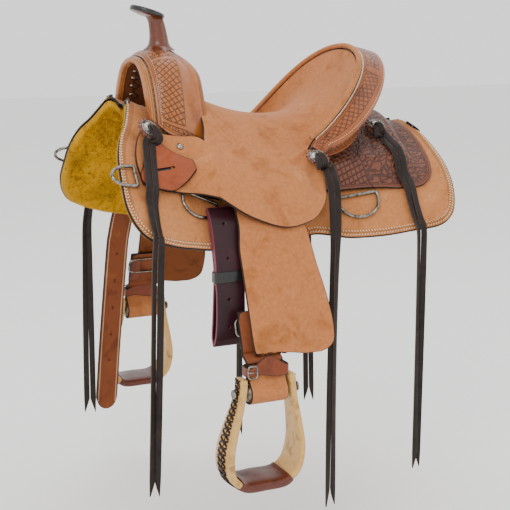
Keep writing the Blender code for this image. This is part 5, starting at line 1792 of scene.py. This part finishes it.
    def hobble(self) -> None:
        """The hobble strap: a band with a waved outline, and its buckle."""
        s, word = self.side.value, self.side.word
        low, high, half = self.bottom - 24.0, self.bottom - 5.5, self.strap / 2
        w = half + 3.2
        loop = spaced(rounded_box(w, 12.6, 5.0, 15), 97, curved=False)
        rows = []
        for k in np.linspace(0.0, 1.0, 13):
            row = []
            for a, b in loop:
                hump = math.cos(min(max(a / w, -1.0), 1.0) * math.pi * 0.5) ** 2
                dip = 3.2 * math.sin(a / w * math.pi)
                z = low - dip - 1.0 + (high - low + dip + 20.0 * hump) * k
                row.append((self.at_x + a, s * (self.at_y + b), z))
            rows.append(row)
        sheet(f"hobble_strap_{word}_hide", np.array(rows), (0, 0, 0), 2.8, STRAP, f"fender_{word}",
              [f"hobble_strap_{word}"], edge=0.9)
        ring = []
        for v in np.linspace(0.0, math.tau, 40, endpoint=False):
            cx, cz = squared_turn(v, 0.45)
            ring.append((self.at_x - 33.0 + 9.0 * cx, s * (self.at_y + 15.6), (low + high) / 2 + 11.5 * cz))
        shapes = [tube_shape(np.array(ring), 1.7, 8, True)]
        tongue = np.array([(self.at_x - 33.0 + v, s * (self.at_y + 16.2), (low + high) / 2)
                           for v in (-9, 0, 12)])
        shapes.append(tube_shape(tongue, 1.2, 8, False))
        add_piece(f"hobble_buckle_{word}_wire", *join(shapes), NICKEL, f"fender_{word}",
                  [f"hobble_buckle_{word}"])

    def frame_line(self) -> Points:
        """The stirrup's centre line from one eye round the tread to the other.

        Returns:
            Rows of x, z and the bar's depth.
        """
        drop = self.drop
        half = [(48.5, 28, 30), (49, 20, 34), (50, 6, 35), (55, -24, 42), (64, -0.36 * drop, 54),
                (71, -0.57 * drop, 66),
                (71.5, -0.73 * drop, 72), (65, -0.88 * drop, 75), (50, -0.965 * drop, 75), (34, -drop, 75),
                (0, -drop, 75)]
        line = [(-a, b, c) for a, b, c in half] + [(a, b, c) for a, b, c in half[-2::-1]]
        return fair(np.array([(a + 0.085 * min(b, 0.0), b, c) for a, b, c in line], float), 10)

    def section(self, line: Points, grow: float, power: float = 0.42, sides: int = 28) -> Points:
        """Rounded sections of the stirrup's bar along its line.

        Args:
            line: rows of x, z and depth.
            grow: the thickness of what is wrapped round it.
            power: how square the section is, from 0 to 1.
            sides: points round it.

        Returns:
            The rings of points.
        """
        ways = headings(line[:, :2])
        rings = []
        for (a, b, deep), (tx, tz) in zip(line, ways):
            normal = np.array([-tz, 0.0, tx])
            ring = []
            for v in np.linspace(0.0, math.tau, sides, endpoint=False):
                cu, cv = squared_turn(v, power)
                ring.append(np.array([self.at_x + a, self.side.value * self.at_y, self.bolt_z + b])
                            + np.array([0.0, cu * (deep / 2 + grow),
                                        0.0]) + normal * cv * (self.bar / 2 + grow))
            rings.append(ring)
        return np.array(rings)

    def stirrup(self) -> None:
        """The rawhide-covered frame with its laced seam, the wrapped tread and the bolt."""
        s, word = self.side.value, self.side.word
        body, line = f"stirrup_{word}", self.frame_line()
        add_piece(f"stirrup_frame_{word}_rawhide", *lofted(self.section(line, 0.0)), RAWHIDE, body,
                  [f"stirrup_frame_{word}"])
        foot = np.nonzero(line[:, 1] <= -0.955 * self.drop)[0]
        tread = line[foot[0] : foot[-1] + 1]
        rings = self.section(tread, 2.6, 0.55)
        lift = 1.0 + 0.10 * np.cos(np.linspace(-1, 1, len(tread)) * math.pi / 2)
        middle = rings.mean(axis=1, keepdims=True)
        rings = middle + (rings - middle) * lift[:, None, None]
        add_piece(f"stirrup_tread_{word}_hide", *lofted(rings), TREAD, body, [f"stirrup_tread_{word}"])
        ties, seam = [], []
        ways = headings(line[:, :2])
        for part in (line[: foot[0] + 4], line[foot[-1] - 4 :]):
            start = int(np.nonzero(line[:, 0] == part[0, 0])[0][0])
            outer = []
            for k, (a, b, _) in enumerate(part):
                tx, tz = ways[start + k]
                n = np.array([-tz, 0.0, tx])
                n = n if n[0] * (a + 14.0) > 0 or abs(n[0]) < 0.1 and n[2] < 0 else -n
                outer.append(np.array([self.at_x + a, s * self.at_y,
                                       self.bolt_z + b]) + n * (self.bar / 2 + 0.3))
            outer = spaced(np.array(outer), 120, curved=False)
            seam.append(tube_shape(outer, 1.5, 8, False, 0.8))
            run = np.gradient(outer, axis=0)
            reach = np.interp(outer[:, 2], [self.bolt_z - 0.6 * self.drop, self.bolt_z], [17.0, 10.0])
            for k in range(3, 117, 7):
                way = run[k] / np.linalg.norm(run[k])
                n = np.cross(way, np.array([0.0, 1.0, 0.0]))
                centre = np.array([self.at_x - 8.0, s * self.at_y, outer[k][2]])
                n = n if n.dot(outer[k] - centre) > 0 else -n
                for lean in (-1.0, 1.0):
                    tie = [outer[k] + np.array([0.0, v * reach[k], 0.0]) + way * v * 4.6 * lean
                           + n * (1.8 - 1.6 * v * v) for v in (-1.0, -0.5, 0.0, 0.5, 1.0)]
                    ties.append(tube_shape(np.array(tie), 2.1, 6, False, 0.7))
        add_piece(f"stirrup_lacing_{word}", *join(seam + ties), THONG, body, slot=f"stirrup_frame_{word}")
        bolt = turned_shape([(8.0, -66.5), (9.0, -65.5), (9.0, -62.6), (5.0, -62.4), (5.0, -41),
                             (self.spool, -40.4),
                             (self.spool, 40.4), (5.0, 41), (5.0, 62.4), (9.0, 62.6), (9.0, 65.5),
                             (8.0, 66.5)], (self.at_x, s * self.at_y, self.bolt_z), (1, 0, 0), 32)
        add_piece(f"stirrup_bolt_{word}_steel", *bolt, STEEL, body, [f"stirrup_bolt_{word}"])


@dataclass
class Fittings:
    """One side's conchos on their scalloped rosettes, and the strings from under them."""

    side: Side
    concho: float = 17.5
    rosette: float = 23.5
    string: float = 12.7
    thick: float = 3.0

    def badge(self, name: str, at: Points, up: Points) -> Points:
        """A silver concho on its rosette, with the knot of lace in its middle.

        Args:
            name: the frame's node.
            at: the foot of its axis.
            up: its axis.

        Returns:
            The way of a lace out of its middle and over its rim.
        """
        r = self.concho
        rose = turned_shape([(2.0, 0.0), (self.rosette, 0.0), (self.rosette + 0.4, 1.4),
                             (self.rosette - 0.6, 2.8), (r, 3.0), (2.0, 3.0)], at, up, 96, 0.12, 14)
        add_piece(f"{name}_rosette", *rose, NECK, "saddle", slot=name)
        dome = turned_shape([(2.0, 3.05), (r, 3.05), (r + 0.5, 3.8), (r - 0.8, 4.8), (r - 2.2, 4.5),
                             (r - 4.5, 5.0),
                             (r * 0.62, 6.6), (r * 0.36, 7.3), (r * 0.3, 6.6), (0.5, 6.6)], at, up, 96, 0.07,
                            18)
        add_piece(f"{name}_silver", *dome, SILVER, "saddle", [name])
        way = Vector(up).normalized()
        u = way.orthogonal().normalized()
        v = way.cross(u)
        beads = []
        for k in range(24):
            a = math.tau * k / 24
            spot = Vector(at) + way * 4.9 + (u * math.cos(a) + v * math.sin(a)) * (r - 2.6)
            beads.append(turned_shape([(0.3, -0.6), (1.1, -0.3), (1.3, 0.3), (0.9, 1.0), (0.2, 1.2)], spot,
                                      way, 8))
        add_piece(f"{name}_beads", *join(beads), NICKEL, "saddle", slot=name)
        down = Vector((0.0, 0.0, -1.0))
        down = (down - way * down.dot(way)).normalized()
        steps = [(-1.0, 5.0), (2.0, 7.0), (9.0, 7.6), (r + 1.0, 5.8), (self.rosette + 1.0, 2.8)]
        return np.array([Vector(at) + down * run + way * rise for run, rise in steps])

    def build(self) -> None:
        """Make the conchos and the strings."""
        side, word, lift, seat, jockey = self.side, self.side.word, self.thick + 2.6, FORM.seat, FORM.jockey
        drift = 0.0 if side is Side.NEAR else 32.0

        def front(x: Points, s: Points) -> Points:
            """Heights of the front strings' lie, over the jockey and the skirt."""
            base = FORM.front(x, s) + seat
            return base + 9.2 + (10.5 - base - 9.2) * smooth((s - 279.0) / 24.0)

        def rear(x: Points, s: Points) -> Points:
            """Heights of the back strings' lie, over the rear jockey and the skirt."""
            base = FORM.rear(x, s) + jockey + 2.9
            return base + (9.5 - base) * smooth((s - 234.0) / 30.0)

        x, s = np.array(-285.0), np.array(150.0)
        over = self.on_form(f"concho_front_{word}", x, s, FORM.front(x, s) + seat + lift + 7.4)
        line, lies = self.laid([(-287, 156), (-297, 215), (-308 + drift * 0.5, 290), (-316 + drift, 386)],
                               front)
        end, lies = line[-1], lies[1:]
        self.tails(f"front_{word}", over, line[1:], lies,
                   [-320.0 + drift, end[1] + 3.0 * side.value, end[2] - 45.0],
                   [-330.0 + drift, end[1] - 12.0 * side.value, -548.0])
        spot = np.array([45.5, side.value * 189.2, 64.5])
        up = np.array([0.0, side.value * 0.72, 0.69])
        lean = FORM.slope(np.array(30.0), np.array(165.0))
        over = self.badge(f"concho_seat_{word}", spot + up * (lift + 0.6),
                          np.array([0.0, side.value * math.sin(lean), math.cos(lean)]))
        keys = [(47.5, 190.6, 65.8), (60.0, 205.0, 52.0), (66.0, 215.0, 26.0), (69.0, 221.0, -4.0),
                (70.0, 224.0, -50.0), (69.0, 228.0, -90.0)]
        line = np.array([(a, side.value * b, c) for a, b, c in keys])
        self.tails(f"seat_{word}", over, line[1:], np.tile([1.0, 0.0, 0.0], (5, 1)),
                   [67.0, side.value * 231.0, -140.0], [64.0, side.value * 228.0, -650.0])
        x, s = np.array(232.0), np.array(82.0)
        over = self.on_form(f"concho_back_{word}", x, s, FORM.rear(x, s) + jockey + lift + 2.0)
        line, lies = self.laid([(234, 88), (248, 150), (256, 210), (257, 318)], rear)
        end, lies = line[-1], lies[1:]
        self.tails(f"back_{word}", over, line[1:], lies, [256.0, end[1] + 3.0 * side.value, end[2] - 45.0],
                   [261.0, end[1] - 4.0 * side.value, -595.0])

    def on_form(self, name: str, x: Points, s: Points, h: Points) -> Points:
        """Set a badge square to the form.

        Args:
            name: the frame's node.
            x: its place along the horse.
            s: its length down the side.
            h: its foot's height above the form.

        Returns:
            The lace's way out of it.
        """
        at = FORM.at(x, s, h, self.side)
        run = FORM.at(x + 12, s, h, self.side) - FORM.at(x - 12, s, h, self.side)
        up = np.cross(run, FORM.at(x, s + 12, h, self.side) - FORM.at(x, s - 12, h, self.side))
        return self.badge(name, at, up if up[2] > 0 else -up)

    def laid(self, keys: Sequence[tuple[float, float]], height: Callable) -> tuple[Points, Points]:
        """Lay a line on the leather.

        Args:
            keys: its own places on the form.
            height: the leather's height at a place.

        Returns:
            Its points, and the way across it at each of them.
        """
        plan = spaced(keys, 12)
        x, s = plan[:, 0], plan[:, 1]
        line = FORM.at(x, s, height(x, s), self.side)
        fore, aft = (FORM.at(x + v, s, height(x + v, s), self.side) for v in (-9.0, 9.0))
        return line, unit_rows(aft - fore)

    def tails(self, name: str, over: Points, line: Points, lies: Points, hang: Sequence[float],
              foot: Sequence[float]) -> None:
        """Two flat tails side by side from under a concho, each a limp cord with a cut point.

        Args:
            name: the pair's name.
            over: its way out of the concho's slot and over the rim.
            line: the pair's middle line on the leather.
            lies: the way across it at each point.
            hang: where it leaves the leather.
            foot: where it ends.
        """
        off, end = np.array(hang), np.array(foot)
        line, lies = np.vstack([over, line]), np.vstack([np.tile(lies[:1], (len(over), 1)), lies])
        drop = [off + (end - off) * v for v in (0.2, 0.4, 0.6, 0.8, 1.0)]
        keys = np.array([*line, off, *drop])
        ways = np.vstack([lies, np.tile([1.0, 0.0, 0.0], (6, 1))])
        fine = fair(np.hstack([keys, ways]), 8)
        path, across = fine[:, :3], fine[:, 3:]
        run = headings(path)
        across = unit_rows(across - run * (across * run).sum(axis=1, keepdims=True))
        out = np.cross(across, run)
        out *= np.where(out[:, 1:2] * self.side.value < 0, -1.0, 1.0)
        share = np.linspace(0.0, 1.0, len(path))
        free = smooth((share - 0.42) / 0.3)[:, None]
        for k, word in ((-1, "a"), (1, "b")):
            # Free lace never hangs quite flat: each tail turns and drifts a little.
            seed = sum(map(ord, name)) * 0.37 + k
            turn = free[:, 0] * 0.55 * np.sin(share * 7.0 + seed)
            sway = free * (np.stack([2.4 * np.sin(share * 8.0 + seed), 2.0 * np.cos(share * 6.0 + seed * 1.7),
                                     0 * share], axis=1))
            apart = (0.18 + 0.82 * smooth((share - 0.03) / 0.12))[:, None]
            stacked = (1.0 - smooth((share - 0.05) / 0.1))[:, None] * (self.thick + 0.3) * (k > 0)
            middle = path + across * (k * (self.string + 1.6) / 2) * apart * (1.0 - 0.3 * free)
            middle = middle + out * (self.thick / 2 + stacked) + sway
            side = across * np.cos(turn)[:, None] + out * np.sin(turn)[:, None]
            face = np.cross(side, run)
            face *= np.where(face[:, 1:2] * self.side.value < 0, -1.0, 1.0)
            length = run_along(middle)
            left = length[-1] - length
            wide = self.string / 2 * np.clip(left / 34.0 + 0.08, 0.0, 1.0)
            lean = self.string / 2 * (1.0 - np.clip(left / 34.0 + 0.08, 0.0, 1.0)) * 0.8 * k
            ring = [(-1.0, -0.6), (-0.8, -1.0), (0.8, -1.0), (1.0, -0.6), (1.0, 0.6), (0.8, 1.0), (-0.8, 1.0),
                    (-1.0, 0.6)]
            rings = np.stack([middle + side * (lean + wide * a)[:, None] + face * (self.thick / 2 * b) for a,
                              b in ring], axis=1)
            piece = add_piece(f"string_{name}_{word}", *lofted(rings), LACE, "saddle", [f"strings_{name}"])
            store(piece, "edge", np.tile([0.0, 2.0, 2.0, 0.0, 0.0, 2.0, 2.0, 0.0], len(middle)))


@dataclass
class Studio:
    """The camera, the soft lights, the pale floor and the pale surround."""

    eye: Way = (-1.0143, -2.1751, 0.330)
    look: Way = (0.4141, 0.8881, -0.1994)
    lens: float = 80.8
    floor_z: float = -0.72

    def camera(self) -> None:
        """Place the camera."""
        data = bpy.data.cameras.new("eye")
        data.lens, data.sensor_width = self.lens, 36.0
        data.clip_end = 100.0
        eye = bpy.data.objects.new("eye", data)
        eye.location = self.eye
        eye.rotation_euler = Vector(self.look).to_track_quat("-Z", "Y").to_euler()
        show(eye)
        bpy.context.scene.camera = eye

    def build(self) -> None:
        """Lay the floor and hang the lights."""
        mesh = bpy.data.meshes.new("floor")
        mesh.from_pydata([(-14, -14, self.floor_z), (14, -14, self.floor_z), (14, 14, self.floor_z),
                          (-14, 14, self.floor_z)], [], [(0, 1, 2, 3)])
        floor = bpy.data.objects.new("floor", mesh)
        show(floor)
        paint = bpy.data.materials.new("pale_floor")
        paint.use_nodes = True
        feed(paint.node_tree, paint.node_tree.nodes["Principled BSDF"],
             {"Base Color": linear("f4f3f1"), "Roughness": 0.9})
        mesh.materials.append(paint)
        world = bpy.data.worlds.new("surround")
        bpy.context.scene.world = world
        world.use_nodes = True
        feed(world.node_tree, world.node_tree.nodes["Background"],
             {"Color": linear("ffffff"), "Strength": 1.35})
        for name, place, size, power in (("key", (-2.2, -2.6, 2.6), 2.2, 70.0),
                                         ("fill", (2.6, -2.0, 1.2), 2.5, 18.0),
                                         ("top", (0.3, 0.6, 3.0), 2.4, 42.0),
                                         ("low", (-1.6, -2.0, -0.3), 1.6, 5.0)):
            data = bpy.data.lights.new(name, "AREA")
            data.size, data.energy = size, power
            lamp = bpy.data.objects.new(name, data)
            lamp.location = place
            lamp.rotation_euler = (Vector((0.0, 0.0,
                                           -0.05)) - Vector(place)).to_track_quat("-Z", "Y").to_euler()
            show(lamp)


def carry_over(frame: dict) -> None:
    """Give the frame's own nodes that still show their finishes.
    """
    for name, piece in frame["nodes"].items():
        if piece.hide_render:
            continue
        finish: Finish = RUSSET
        if name.startswith(("tree_", "ground_")):
            finish = PINE
        elif name == "horn_core":
            finish = STEEL
        for spot in piece.material_slots:
            spot.material = finish.material()
        if not piece.material_slots:
            piece.data.materials.append(finish.material())
        LOG.info("%s: carried over in %s", name, finish.name)


def main() -> None:
    """Build the camera and cords first, then every sub-assembly, then the room."""
    logging.basicConfig(level=logging.INFO, format="%(name)s: %(message)s")
    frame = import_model()
    studio = Studio()
    studio.camera()
    for side in Side:
        Fittings(side).build()
    Seat().build()
    Fork().build()
    Cantle().build()
    Latigo().build()
    Billet().build()
    for side in Side:
        Skirts(side).build()
        Rings(side).build()
        FenderAndStirrup(side).build()
    carry_over(frame)
    studio.build()
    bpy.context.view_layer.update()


if __name__ == "__main__":
    main()
